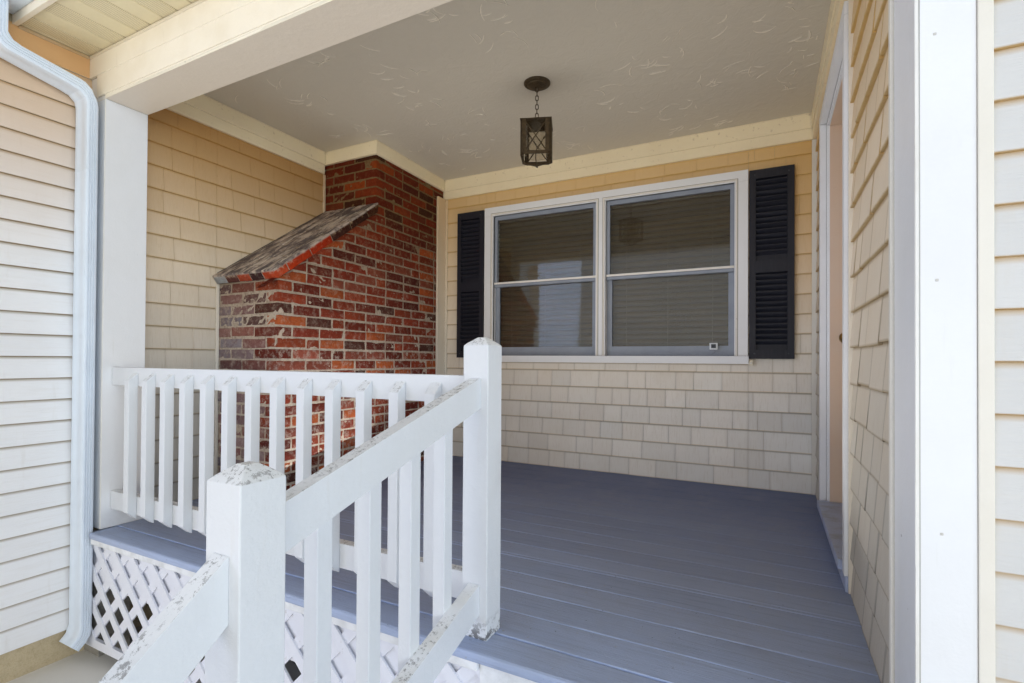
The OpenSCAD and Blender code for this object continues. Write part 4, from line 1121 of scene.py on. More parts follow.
railingPaint = makeFinish("railingPaint", {
    "colour": (240, 242, 244),
    "roughness": 0.42,
    "specular": 0.45,
    "layers": [
        # Painted shade: faces towards the front and towards X are a little darker.
        facing("Y", -0.5, -0.9, (233, 234, 237), mode="MULTIPLY"),
        facing("X", 0.5, 0.9, (240, 242, 244), mode="MULTIPLY"),
        blotches(2.2, 0.45, 0.75, (216, 217, 216), 0.3, detail=6),
        streaks((40, 40, 5), 0.62, 0.8, (206, 202, 194), 0.2, detail=5),
        facing("Z", 0.5, 0.8, (128, 127, 128), 0.75,
             times=[blotches(70, 0.535, 0.565, detail=10, grit=0.8), blotches(7, 0.36, 0.52, detail=3)]),
        blotches(34, 0.715, 0.73, (126, 122, 120), 0.75, detail=10, grit=0.78),
        fade("Z", 0.7, 0.645, (96, 96, 98), 0.9,
             times=[fade("Y", -0.8, -0.75), blotches(34, 0.5, 0.54, detail=9, grit=0.7)]),
    ],
    "bumps": [
        unevenness(24, 0.001, detail=6),
        unevenness(120, 0.0003, detail=3),
    ],
})
latticePaint = makeFinish("latticePaint", {
    "colour": (229, 231, 240),
    "roughness": 0.5,
    "layers": [
        blotches(3, 0.45, 0.75, (216, 214, 218), 0.25, detail=5),
        blotches(28, 0.64, 0.69, (168, 160, 150), 0.4, detail=8, grit=0.7),
    ],
    "bumps": [unevenness(60, 0.0005)],
})
riserHeap = newHeap()
for y0, y1, z0, z1 in steps["risers"]:
    addBoard(riserHeap, (steps["left"], y0, z0), (steps["right"], y1, z1), deckRng, edge=2.5, rough=0)
makePiece(riserHeap, "stepRisers", whitePaint, ["steps"])
print("scene: deck and steps done")

# Square posts with low worn caps.
newels = {
    "width": 89,
    "x": 2243,
    "posts": [(16, 630, 1528), (-791, 0, 1278), (-1155, 0, 1068)],  # y, foot, shoulder
    "peak": 24,
    "flat": 0.33,
    "edge": 3,
    "rough": 0.2,
    "sections": 12,
}


def squareRing(x, y, z, half, edge):
    ring = []
    for sx, sy, turn in ((1, 1, 0), (-1, 1, 90), (-1, -1, 180), (1, -1, 270)):
        for angle in (0, 45, 90):
            a = math.radians(turn + angle)
            ring.append((x + sx * (half - edge) + edge * math.cos(a),
                         y + sy * (half - edge) + edge * math.sin(a), z))
    return ring


newelHeap = newHeap()
newelRng = np.random.default_rng(2)
for y, foot, shoulder in newels["posts"]:
    half = newels["width"] / 2
    middle = (newels["x"] + half, y + half)
    levels = [(foot, half - 1)]
    levels += [(z, half) for z in np.linspace(foot + 3, shoulder - 5, newels["sections"])]
    levels += [(shoulder - 1.5, half - 0.6), (shoulder + 0.5, half - 2.5)]
    for k in (0.33, 0.66, 1):
        levels.append((shoulder + newels["peak"] * k * 0.93, half * (1 - k * (1 - newels["flat"]))))
    levels.append((shoulder + newels["peak"], half * newels["flat"] - 2))
    rings = [squareRing(*middle, z, h, min(newels["edge"], h * 0.5)) for z, h in levels]
    rings = np.array(rings) + newelRng.normal(0, newels["rough"], (len(rings), 12, 3))
    rings[:, :, 1:] = np.maximum(rings[:, :, 1:], (y, foot))
    addLoft(newelHeap, rings)
makePiece(newelHeap, "newelPosts", railingPaint, ["newel_posts"], smoothAngle=14)

# Ceiling with a hand-trowelled coat: curved ridges in every direction.
ceilingCoat = {
    "low": (0, 191),
    "high": (3373, 2455),
    "bottom": 3077,
    "thick": 16,
    "cell": 26,
    "waves": [(420, 0.6), (130, 0.25)],  # size and height
    "groups": 95,
    "strokes": (1, 6),  # in a group
    "spread": 38,
    "turn": 0.5,
    "radius": (45, 150),
    "length": (35, 125),
    "ridge": (1.6, 3.4),
    "ridgeWidth": (2.0, 5.0),
    # across and depth of a ridge's section, and its painted shade, lighter on the crest and darker behind it
    "section": [(-2.6, -0.6, 0.98), (-1.0, 0.35, 1.12), (-0.1, 1.0, 1.42), (0.3, 0.9, 1.3),
                (0.8, 0.1, 0.72), (0.9, -0.6, 0.82)],
    "stack": (590, 1440),  # the chimney passes through the ceiling left of and behind these
    "seed": 12,
}
ceilingPlaster = makeFinish("ceilingPlaster", {
    "colour": (207, 199, 184),
    "tinted": True,
    "roughness": 0.6,
    "layers": [
        blotches(1.1, 0.42, 0.72, (206, 196, 178), 0.2),
        blotches(24, 0.66, 0.7, (240, 232, 218), 0.35, detail=8, grit=0.7),
    ],
    "bumps": [unevenness(16, 0.0012, low=0.35, high=0.65, swirl=1.2)],
})


def makeCeiling():
    c = ceilingCoat
    rng = np.random.default_rng(c["seed"])
    xs, ys = [np.linspace(a, b, int((b - a) / c["cell"]) + 1) for a, b in zip(c["low"], c["high"])]
    gx, gy = np.meshgrid(xs, ys, indexing="ij")
    flat = np.column_stack([gx.ravel(), gy.ravel(), np.zeros(gx.size)])
    height = sum(ripple(flat, size, rng) * high for size, high in c["waves"])
    bottom = flat.copy()
    bottom[:, 2] = c["bottom"] - height
    n, m = gx.shape
    faces = [(i * m + j, i * m + j + 1, (i + 1) * m + j + 1, (i + 1) * m + j)
             for i in range(n - 1) for j in range(m - 1)]
    rim = [i * m for i in range(n)] + [(n - 1) * m + j for j in range(1, m)]
    rim += [i * m + m - 1 for i in range(n - 2, -1, -1)] + [j for j in range(m - 2, 0, -1)]
    upper = bottom[rim].copy()
    upper[:, 2] = c["bottom"] + c["thick"]
    count = len(rim)
    for k in range(count):
        after = (k + 1) % count
        faces.append((rim[k], rim[after], n * m + after, n * m + k))
    faces.append(tuple(n * m + k for k in range(count)))
    heap = newHeap()
    addShape(heap, np.vstack([bottom, upper]), faces)
    return makePiece(heap, "ceilingCoat", ceilingPlaster, ["ceiling"], smoothAngle=60)


def unit(angle):
    return np.array([math.cos(angle), math.sin(angle)])


# One trowel ridge: a thin curved strip that swells and fades, with a painted highlight on its crest and
# painted shade behind it.
def addRidge(heap, middle, radius, start, length, width, high, rng):
    count = max(7, int(length / 7))
    rings = []
    level = ceilingCoat["bottom"] - 0.3
    for k in range(count):
        share = k / (count - 1)
        angle = start + length / radius * share
        swell = math.sin(math.pi * min(max(share, 0.02), 0.98)) ** 0.7 * (1 + 0.3 * rng.normal())
        swell = max(swell, 0.05)
        ring = []
        for across, depth, shade in ceilingCoat["section"]:
            spot = middle + (radius + across * width * (0.35 + 0.65 * swell)) * unit(angle)
            ring.append((*spot, level - depth * high * swell))
        rings.append(ring)
    # Painted highlight and shade across the ridge.
    shades = [(shade, shade, shade, 0) for across, depth, shade in ceilingCoat["section"]]
    addLoft(heap, rings, np.tile(shades, (count, 1)))


def addRidges(heap):
    c = ceilingCoat
    low, high = np.array(c["low"]), np.array(c["high"])
    rng = np.random.default_rng(c["seed"])
    for group in range(c["groups"]):
        spot = rng.uniform(low + 90, high - 90)
        turn = rng.uniform(0, 2 * math.pi)
        for stroke in range(rng.integers(*c["strokes"])):
            radius = rng.uniform(*c["radius"])
            length = rng.uniform(*c["length"])
            start = turn + rng.normal(0, c["turn"])
            near = np.clip(spot + rng.normal(0, c["spread"], 2), low + 70, high - 70)
            middle = near - radius * unit(start)
            end = middle + radius * unit(start + length / radius)
            outside = (end <= low + 20).any() or (end >= high - 20).any()
            atStack = near[0] < c["stack"][0] and near[1] > c["stack"][1]
            if outside or atStack:
                continue
            width = rng.uniform(*c["ridgeWidth"])
            addRidge(heap, middle, radius, start, length, width, rng.uniform(*c["ridge"]), rng)


makeCeiling()
ridgeHeap = newHeap()
addRidges(ridgeHeap)
makePiece(ridgeHeap, "trowelRidges", ceilingPlaster, smoothAngle=70)
print("scene: ceiling done")

# Roof covering in staggered tabs, thicker at the butts.
roof = {
    "eaveY": -310,
    "eaveZ": 3160,
    "slope": math.radians(14),
    "left": -150,
    "right": 3889,
    "exposure": 142,
    "tab": 305,
    "thick": 9,
    "slotGap": 5,
    "under": (22.5, 26),  # foot and top of the layer under the tabs
    "foot": 24.5,
    "lift": 2,
    "shadeSpread": (0.12, 0.02),
    "seed": 41,
}

roofTabs = makeFinish("roofTabs", {
    "colour": (92, 88, 84),
    "tinted": True,
    "roughness": 0.96,
    "specular": 0.15,
    "layers": [
        blotches(420, 0.45, 0.65, (58, 56, 54), 0.6, detail=3),
        blotches(520, 0.58, 0.68, (150, 146, 140), 0.6, detail=2),
        blotches(1.8, 0.45, 0.8, (62, 60, 54), 0.5, detail=5),
    ],
    "bumps": [unevenness(600, 0.0016, detail=3)],
})


def onRoof(points):
    y = roof["eaveY"] + points[:, 1] * math.cos(roof["slope"]) - points[:, 2] * math.sin(roof["slope"])
    z = roof["eaveZ"] + points[:, 1] * math.sin(roof["slope"]) + points[:, 2] * math.cos(roof["slope"])
    return np.column_stack([points[:, 0], np.minimum(y, porch["wallEnd"]), z])


def roofStretches(a, b, s0, s1):
    y0 = roof["eaveY"] + s0 * math.cos(roof["slope"])
    y1 = roof["eaveY"] + s1 * math.cos(roof["slope"])
    if y1 < chimney["stack"] or y0 > chimney["back"] or a > chimney["baseWidth"] - 25 or b < 0:
        return [(a, b)]
    parts = []
    if a < -6:
        parts.append((a, -4))
    if b > sideFace(y0) + 10:
        parts.append((sideFace(y0) + 4, b))
    return parts


def addRoof(heap, rng):
    length = (porch["wallEnd"] - roof["eaveY"]) / math.cos(roof["slope"])
    foot, top = roof["under"]
    for row in range(int(math.ceil(length / roof["exposure"]))):
        s0 = row * roof["exposure"]
        s1 = s0 + roof["exposure"]
        for a, b in roofStretches(roof["left"], roof["right"], s0, s1):
            # The layer under the tabs is darkened: painted shade, seen in the slots.
            points, faces = roundedBlock((a, s0 + 6, foot), (b, s1 + 20, top), (3, 3, 1), 1, 0, rng)
            addShape(heap, onRoof(points), faces, (0.55, 0.55, 0.55, 0))
        x = roof["left"] - (roof["tab"] / 2 if row % 2 else 0)
        while x < roof["right"] - 10:
            a = max(x + roof["slotGap"], roof["left"])
            b = min(x + roof["tab"], roof["right"])
            lift = rng.uniform(0, roof["lift"])
            for c, d in roofStretches(a, b, s0, s1):
                if d - c < 12:
                    continue
                points, faces = roundedBlock((c, s0, 0), (d, s1 + 6, 1), (3, 3, 1), 2, 0, rng)
                share = (points[:, 1] - s0) / (s1 - s0)
                points[:, 2] *= roof["thick"] - 4 * share
                points[:, 2] += roof["foot"] - share * 1.5 + lift * (1 - share)
                addShape(heap, onRoof(points), faces, pieceTint(rng, *roof["shadeSpread"]))
            x += roof["tab"]


roofHeap = newHeap()
addRoof(roofHeap, np.random.default_rng(roof["seed"]))
makePiece(roofHeap, "roofTabs", roofTabs, ["roof_shingles"], smoothAngle=30)
print("scene: roof done")

# Ribbed soffit: V joints across its width. The fine holes in every other rib are dark dots in its finish, a
# painted shade.
soffit = {
    "front": -290,
    "bottom": 3010,
    "thick": 12,
    "end": 3889,
    "firstJoint": 32,
    "pitch": 105,
    "jointWidth": 9,
    "jointDepth": 7,
    "jointLip": 0.8,
}
soffitPaint = makeFinish("soffitPaint", {
    "colour": (240, 228, 192),
    "roughness": 0.45,
    "layers": [
        # Painted shade: dark dots for the fine holes in every other rib.
        blotches(1.0, 0.36, 0.24, (110, 88, 60), 0.45, stretch=(240, 150, 0), random=0.0, kind="cells",
                 times=[fade("X", 0.052, 0.054, every=0.105)]),
        blotches(3, 0.45, 0.8, (196, 180, 150), 0.3, detail=5),
        # Painted shade in corners.
        paintedCornerShade(0.03, 0.7, 0.2, (120, 96, 66), 0.5),
    ],
    "bumps": [unevenness(40, 0.0008)],
})
edgeLine = [(0.0, 0.0)]
x = soffit["firstJoint"]
while x < soffit["end"] - 12:
    half = soffit["jointWidth"] / 2
    lip = soffit["jointLip"]
    edgeLine += [(x - half - 2, 0.0), (x - half, lip), (x, soffit["jointDepth"]), (x + half, lip),
                 (x + half + 2, 0.0)]
    x += soffit["pitch"]
edgeLine.append((soffit["end"], 0.0))
soffitRings = []
for y in (soffit["front"], 0):
    high = soffit["bottom"] + soffit["thick"]
    lower = [(px, y, soffit["bottom"] + dz) for px, dz in edgeLine]
    soffitRings.append(lower + [(soffit["end"], y, high), (0, y, high)])
soffitHeap = newHeap()
addLoft(soffitHeap, soffitRings)
makePiece(soffitHeap, "ribbedSoffit", soffitPaint, ["soffit"], smoothAngle=20)

# Downspout: ribbed sheet metal with two elbows and a kicked-out foot.
spout = {
    "left": 20,
    "right": 138,
    "rib": 2.8,
    "corner": 7,
    "cornerCut": (1, 3),
    "ribEdges": [(0, 0), (1.5, 1), (5, 1), (6.5, 0)],  # distance and share of the rib's depth
    "flutes": [(0.3, 0), (0.33, 1.2), (0.67, 1.2), (0.7, 0)],  # share of the width and depth
    # pairs of front and back points, from the gutter to the foot
    "path": [((-409.6, 3040), (-361.6, 3040)), ((-409.6, 2875), (-361.6, 2900)),
             ((-400, 2852), (-355, 2884)), ((-383.6, 2835), (-343.6, 2873)),
             ((-362, 2824), (-331, 2866)), ((-337.6, 2817), (-316.6, 2862)),
             ((-140, 2777), (-98, 2823)), ((-121, 2773), (-81, 2815)),
             ((-104, 2767), (-66, 2805)), ((-91, 2757), (-54, 2791)),
             ((-80, 2743), (-46, 2775)), ((-75, 2729), (-34, 2747)),
             ((-74, 2712), (-26, 2713)), ((-74, 2400), (-26, 2400)),
             ((-74, 2396), (-26, 2396)), ((-74, 2392), (-26, 2392)),
             ((-74, 170), (-26, 150)), ((-79, 150), (-34, 124)),
             ((-86, 132), (-46, 100)), ((-100, 117), (-62, 82)),
             ((-112, 104), (-78, 66))],
    "swells": {2: 2.4, 4: 2.4, 7: 2.4, 9: 2.4, 11: 2.4, 14: 1.2, 17: 2.4},  # crimps and the seam
}


def spoutSection(front, back, swell):
    front, back = np.array(front, float), np.array(back, float)
    deep = np.linalg.norm(back - front)
    across = (back - front) / deep
    x0, x1, corner = spout["left"], spout["right"], spout["corner"]
    cutDepth, cutWidth = spout["cornerCut"]
    side = [(corner, 0.4), (corner + 2, 0)]
    for k in range(3):
        start = corner + 4 + k * (deep - 2 * corner - 4) / 3
        side += [(start + run, spout["rib"] * share) for run, share in spout["ribEdges"]]
    side.append((deep - corner, 0.4))
    flutes = [(x1 + (x0 - x1) * share, dent) for share, dent in spout["flutes"]]
    places = [(x1 - dent + swell, depth) for depth, dent in side]
    places += [(x1 - cutWidth, deep - cutDepth + swell), (x1 - corner, deep + swell)]
    places += [(x, deep - dent + swell) for x, dent in flutes]
    places += [(x0 + corner, deep + swell), (x0 + cutWidth, deep - cutDepth + swell)]
    places += [(x0 + dent - swell, depth) for depth, dent in side[::-1]]
    places += [(x0 + cutWidth, cutDepth - swell), (x0 + corner, -swell)]
    places += [(x, dent - swell) for x, dent in flutes[::-1]]
    places += [(x1 - corner, -swell), (x1 - cutWidth, cutDepth - swell)]
    return [(x, *(front + across * depth)) for x, depth in places]


spoutHeap = newHeap()
addLoft(spoutHeap, [spoutSection(front, back, spout["swells"].get(k, 0))
                    for k, (front, back) in enumerate(spout["path"])])

gutterPaint = makeFinish("gutterPaint", {
    "colour": (230, 241, 254),
    "roughness": 0.32,
    "specular": 0.5,
    "layers": [
        blotches(2.6, 0.45, 0.75, (202, 210, 220), 0.35, detail=6),
        streaks((50, 50, 3), 0.6, 0.8, (180, 182, 184), 0.3, detail=5),
        # Painted shade in corners and between parts.
        paintedCornerShade(0.03, 0.7, 0.25, (120, 116, 110), 0.5),
    ],
    "bumps": [unevenness(22, 0.0007)],
})
makePiece(spoutHeap, "ribbedDownspout", gutterPaint, ["downspout"], smoothAngle=30)
print("scene: soffit and downspout done")

# Closed blinds: curved slats that lap over each other behind the sashes.
blinds = {
    "units": [(1012.5, 897.5), (1986, 897.5)],  # left edge and width
    "y": 2504,
    "low": 1517,
    "high": 2694,
    "pitch": 42,
    "slat": 50,
    "bow": 5,
    "thick": 1.8,
    "tilt": math.radians(74),
    "rail": 42,  # height and depth of the head rail
    "tapes": (0.16, 0.5, 0.84),  # shares of the width
    "sway": 0.02,
    "shadeSpread": (0.07, 0.01),
    # painted shade and highlight by corner of the slat's section: one edge dark, the other light
    "shades": [(0, 0.25), (11, 0.25), (1, 0.7), (10, 0.7), (4, 1.25), (5, 1.35), (6, 1.35), (7, 1.25)],
}
blindPaint = makeFinish("blindPaint", {
    "colour": (112, 92, 68),
    "tinted": True,
    "roughness": 0.4,
    "specular": 0.5,
    "layers": [
        streaks((4, 60, 60), 0.48, 0.75, (74, 58, 42), 0.45, detail=5, perPiece=True),
        blotches(22, 0.6, 0.75, (120, 104, 84), 0.3),
    ],
    "bumps": [grainRelief((6, 260, 260), 0.0004, detail=3)],
})
blindHeap = newHeap()
blindRng = np.random.default_rng(3)
for left, width in blinds["units"]:
    addBoard(blindHeap, (left + 2, blinds["y"] - 4, blinds["high"] - blinds["rail"]),
             (left + width - 2, blinds["y"] + blinds["rail"], blinds["high"]), blindRng, edge=2, rough=0)
    z = blinds["low"] + 24
    while z < blinds["high"] - 36:
        tilt = blinds["tilt"] + blindRng.normal(0, blinds["sway"])
        section = []
        for side in (1, -1):
            for share in np.linspace(-1, 1, 6)[::side]:
                across = share * blinds["slat"] / 2
                bow = blinds["bow"] * (1 - share ** 2) + side * blinds["thick"] / 2
                section.append((across * math.cos(tilt) - bow * math.sin(tilt),
                                across * math.sin(tilt) + bow * math.cos(tilt)))
        sag = blindRng.normal(0, 0.6)
        rings = []
        for share in np.linspace(0, 1, 7):
            x = left + 2.5 + share * (width - 5)
            drop = -4 * share * (1 - share) * (1.2 + sag)
            rings.append([(x, blinds["y"] + 20 + dy, z + dz + drop) for dy, dz in section])
        tint = np.tile(pieceTint(blindRng, *blinds["shadeSpread"]), (len(rings) * len(section), 1))
        # Painted shade and highlight on the slat's two edges.
        for k, shade in blinds["shades"]:
            tint[k::len(section), :3] *= shade
        addLoft(blindHeap, rings, tint)
        z += blinds["pitch"]
    for share in blinds["tapes"]:
        x = left + share * width
        addBoard(blindHeap, (x - 3, blinds["y"] - 10, blinds["low"] + 6),
                 (x + 3, blinds["y"] - 8.6, blinds["high"] - 30), blindRng, edge=0.4, rough=0, step=300)
makePiece(blindHeap, "closedBlinds", blindPaint, ["window_blinds"], smoothAngle=40)
print("scene: blinds done")

# Small mouldings and fittings that the frame's nodes carry.
trimDetails = {
    "openings": [(1012.5, 1910), (1986, 2883.5)],
    "head": 2695,
    "foot": 1515,
    "casingFace": 2415,
    "railY": (2433, 2441),
    "railZ": (2117, 2133),
    "railTint": (1.08, 1.08, 1.1, 0),
    # distance across, proud of the casing, painted shade in the grooves
    "bead": [(0, -26, 0.5), (0, -11, 0.55), (2, -9, 0.9), (5, -9, 0.45), (7, -2, 0.5), (8, 3.5, 0.9),
             (10, 5, 1), (17, 5, 1), (19, 3.5, 0.9), (20, 0.6, 0.4), (23, 0.6, 0.4), (24, -1, 0.5),
             (24, -4, 0.5), (2, -26, 0.5)],
    # strips by two corners, edge radius, step and tint
    "sillStrips": [
        ((902, 2398, 1462), (2994, 2415, 1474), 3, 90, (1.05, 1.05, 1.05, 0)),
        ((2975, 2404, 1452), (2999, 2420, 1489), 2, 90, (0.95, 0.9, 0.78, 0)),
    ],
    "wallStrips": [
        ((139, -3, 632), (146, 1, 2770), 1.2, 300, (1.0, 1.03, 1.08, 0)),
        # dark strip: painted shade in the groove beside the bead
        ((137, -1.2, 632), (139, 1, 2770), 0.4, 300, (0.5, 0.52, 0.56, 0)),
        ((3363, -3, 632), (3370, 1, 2770), 1.2, 300, (1.0, 1.03, 1.08, 0)),
        # dark strip: painted shade in the groove beside the bead
        ((3370, -1.2, 632), (3372, 1, 2770), 0.4, 300, (0.5, 0.52, 0.56, 0)),
        ((147, -4, 2772.5), (3362, 1, 2786), 2, 300, (1.0, 0.95, 0.82, 0)),
        # dark strips: painted shade in the groove over the beam's bead and in the joint under the frieze
        ((147, -1.5, 2788), (3362, 1, 2790), 0.5, 300, (0.55, 0.48, 0.36, 0)),
        ((20, -1.5, 2897), (3460, 1, 2900), 0.5, 300, (0.4, 0.32, 0.2, 0)),
        # where the soffit meets the walls
        ((14, -17, 2995), (3887, -0.5, 3009.6), 4, 300, (0.97, 0.9, 0.76, 0)),
        # warm dark tint: painted shade under the soffit on the wing
        ((0.5, -288, 2993), (18, -17, 3009.6), 4, 60, (0.7, 0.5, 0.28, 0)),
        # channels over the ends of the shakes beside the door
        ((3354, 899, 632), (3374, 909, 2828), 1.5, 300, (0.98, 0.92, 0.82, 0)),
        ((3354, 1955, 632), (3374, 1963, 2828), 1.5, 300, (0.98, 0.92, 0.82, 0)),
    ],
    "nails": {
        "places": [(3397, 2162), (3400, 1652), (3407, 1132)],
        "half": 2.8,
        "y": (-1.2, 1),
        "edge": 1.2,
        "tint": (0.72, 0.73, 0.76, 0),
    },
}


# A profile swept round an opening, with mitred corners.
def addFrameBead(heap, x0, x1, z0, z1):
    face, profile = trimDetails["casingFace"], trimDetails["bead"]
    points = []
    for x, z, sx, sz in ((x0, z0, -1, -1), (x1, z0, 1, -1), (x1, z1, 1, 1), (x0, z1, -1, 1)):
        points += [(x + sx * across, face - proud, z + sz * across) for across, proud, shade in profile]
    n = len(profile)
    faces = [(i * n + j, i * n + (j + 1) % n, (i + 1) % 4 * n + (j + 1) % n, (i + 1) % 4 * n + j)
             for i in range(4) for j in range(n)]
    tint = np.tile([(shade, shade, shade, 0) for across, proud, shade in profile], (4, 1))
    addShape(heap, points, faces, tint)


def addStrips(heap, strips, rng):
    for low, high, edge, step, tint in strips:
        addBoard(heap, low, high, rng, edge=edge, step=step, tint=tint)


def addHeads(heap, heads, rng):
    half = heads["half"]
    front, back = heads["y"]
    for x, z in heads["places"]:
        addBoard(heap, (x - half, front, z - half), (x + half, back, z + half), rng,
                 edge=heads["edge"], rough=0, tint=heads["tint"])


casingWhite = makeFinish("casingWhite", {
    "colour": (236, 232, 224),
    "tinted": True,
    "roughness": 0.45,
    "layers": [
        blotches(9, 0.45, 0.75, (214, 208, 196), 0.3, detail=6),
        blotches(40, 0.66, 0.69, (120, 108, 92), 0.6, detail=8, grit=0.7),
    ],
    "bumps": [unevenness(90, 0.0004)],
})
beadHeap = newHeap()
detailRng = np.random.default_rng(9)
for x0, x1 in trimDetails["openings"]:
    addFrameBead(beadHeap, x0, x1, trimDetails["foot"], trimDetails["head"])
    (y0, y1), (z0, z1) = trimDetails["railY"], trimDetails["railZ"]
    addBoard(beadHeap, (x0 + 2, y0, z0), (x1 - 2, y1, z1), detailRng, edge=2, tint=trimDetails["railTint"])
addStrips(beadHeap, trimDetails["sillStrips"], detailRng)
makePiece(beadHeap, "casingMouldings", casingWhite, smoothAngle=20)

pilasterHeap = newHeap()
addStrips(pilasterHeap, trimDetails["wallStrips"], detailRng)
addHeads(pilasterHeap, trimDetails["nails"], detailRng)
makePiece(pilasterHeap, "pilasterBeads", casingWhite, smoothAngle=16)

sensorGrey = makeFinish("sensorGrey", {
    "colour": (222, 226, 230),
    "tinted": True,
    "roughness": 0.35,
    "layers": [blotches(120, 0.5, 0.75, (160, 164, 170), 0.3)],
    "bumps": [unevenness(300, 0.0002, detail=3)],
})
sensor = {
    "case": ((2725, 2424, 1559), (2780, 2440, 1606)),
    "pane": ((2737, 2422.6, 1570), (2768, 2425, 1597)),
    "paneTint": (0.03, 0.035, 0.05, 0),
    "wireStart": (2750, 2434, 1559),
    "wireStep": 3.6,
    "wireSwing": 12,
    "wireRadius": 1.6,
    "wireTint": (0.25, 0.26, 0.28, 0),
}
sensorHeap = newHeap()
addBoard(sensorHeap, *sensor["case"], detailRng, edge=5, rough=0)
addBoard(sensorHeap, *sensor["pane"], detailRng, edge=1, rough=0, tint=sensor["paneTint"])
wireX, wireY, wireZ = sensor["wireStart"]
wireRings = []
for k in range(11):
    x = wireX + sensor["wireSwing"] * math.sin(k / 2.2)
    z = wireZ - k * sensor["wireStep"]
    wireRings.append([(x + sensor["wireRadius"] * math.cos(a), wireY + sensor["wireRadius"] * math.sin(a), z)
                      for a in (0.4, 2.5, 4.6)])
addLoft(sensorHeap, wireRings, sensor["wireTint"])
makePiece(sensorHeap, "windowSensor", sensorGrey, smoothAngle=35)

screws = {
    "places": [(left + across, z) for left in (655.5, 2974.5) for z in (1532, 2722) for across in (33, 233)],
    "half": 4.5,
    "y": (2408.6, 2412),
    "edge": 2,
    "tint": (0.06, 0.06, 0.07, 0),
}
screwHeap = newHeap()
addHeads(screwHeap, screws, detailRng)
makePiece(screwHeap, "shutterScrews", sensorGrey, smoothAngle=35)

# Dark flashing on the wall, along the chimney's slope.
flashing = {
    "from": 665,
    "to": 1500,
    "sections": 16,
    "above": 60,
    "wave": 1.2,
    "profile": [(13, -10), (19, -9), (19.5, 9), (13, 11)],
    "tint": (0.035, 0.03, 0.028, 0),
}
flashingHeap = newHeap()
flashingRings = []
for y in np.linspace(flashing["from"], flashing["to"], flashing["sections"]):
    z = slopeLine(y, flashing["above"]) + detailRng.normal(0, flashing["wave"])
    flashingRings.append([(d, y, z + dz) for d, dz in flashing["profile"]])
addLoft(flashingHeap, flashingRings, flashing["tint"])
makePiece(flashingHeap, "slopeFlashing", sensorGrey, smoothAngle=30)
print("scene: mouldings and fittings done")

# Finishes of the frame's own nodes.
wallBoard = makeFinish("wallBoard", {
    "colour": (196, 180, 148),
    "roughness": 0.85,
    "layers": [
        blotches(120, 0.45, 0.65, (168, 146, 108), 0.5, detail=5),
        blotches(28, 0.1, 0.6, (214, 198, 166), 0.35, kind="cells"),
        blotches(1.4, 0.45, 0.8, (150, 134, 108), 0.4),
    ],
    "bumps": [unevenness(160, 0.0012)],
})
creamTrim = makeFinish("creamTrim", {
    "colour": (250, 240, 220),
    "roughness": 0.46,
    "layers": [
        blotches(5, 0.45, 0.75, (222, 206, 174), 0.3, detail=5),
        streaks((30, 30, 4), 0.62, 0.8, (186, 168, 136), 0.2, detail=5),
        # Painted shade in corners and between parts.
        paintedCornerShade(0.02, 0.7, 0.2, (120, 100, 72), 0.5),
        # Painted warm shade on faces towards X.
        facing("X", 0.5, 0.9, (216, 160, 92), 0.85),
    ],
    "bumps": [unevenness(70, 0.0005)],
})
beamPaint = makeFinish("beamPaint", {
    "colour": (243, 238, 230),
    "roughness": 0.45,
    "layers": [
        blotches(2, 0.45, 0.75, (226, 218, 206), 0.25, detail=6),
        blotches(30, 0.68, 0.7, (150, 138, 122), 0.5, detail=8, grit=0.7),
        # Painted shade in corners and between parts.
        paintedCornerShade(0.02, 0.7, 0.2, (120, 104, 82), 0.5),
        # Painted shade, warm, on the beam's underside.
        facing("Z", -0.5, -0.9, (226, 210, 188), 0.6),
    ],
    "bumps": [unevenness(40, 0.0006)],
})
trimVinyl = makeFinish("trimVinyl", {
    "colour": (234, 230, 220),
    "roughness": 0.46,
    "layers": [
        blotches(4, 0.45, 0.75, (214, 206, 190), 0.25, detail=5),
        # Painted warm light, stronger towards the top.
        fade("Z", 1.3, 3.0, (226, 192, 138), 0.8, times=[fade("X", 1.4, 1.3)]),
        # Painted shade in corners and between parts.
        paintedCornerShade(0.02, 0.7, 0.2, (96, 78, 54), 0.6),
    ],
    "bumps": [unevenness(60, 0.0005)],
})
crownPaint = makeFinish("crownPaint", {
    "colour": (250, 236, 202),
    "roughness": 0.5,
    "layers": [
        blotches(4, 0.42, 0.75, (232, 212, 176), 0.25, detail=6),
        blotches(40, 0.62, 0.72, (168, 142, 104), 0.4, detail=5),
        # Painted shade in corners and between parts.
        paintedCornerShade(0.03, 0.7, 0.2, (110, 84, 54), 0.5),
    ],
    "bumps": [grainRelief((12, 12, 140), 0.0006)],
})
bareTimber = makeFinish("bareTimber", {
    "colour": (150, 118, 82),
    "roughness": 0.8,
    "layers": [
        streaks((12, 12, 70), 0.45, 0.7, (104, 76, 50), 0.6, detail=6),
        blotches(6, 0.45, 0.75, (172, 148, 116), 0.4, detail=5),
    ],
    "bumps": [grainRelief((20, 20, 160), 0.001)],
})
roughConcrete = makeFinish("roughConcrete", {
    "colour": (156, 152, 144),
    "roughness": 0.95,
    "layers": [
        blotches(12, 0.42, 0.7, (118, 114, 106), 0.5, detail=6),
        blotches(90, 0.6, 0.72, (188, 184, 176), 0.5),
    ],
    "bumps": [unevenness(110, 0.003, detail=6)],
})
sashPaint = makeFinish("sashPaint", {
    "colour": (150, 158, 172),
    "roughness": 0.45,
    "layers": [
        blotches(8, 0.42, 0.72, (122, 130, 146), 0.4, detail=5),
        # Painted shade in corners and between parts.
        paintedCornerShade(0.02, 0.7, 0.2, (60, 62, 68), 0.6),
    ],
    "bumps": [unevenness(80, 0.0004)],
})
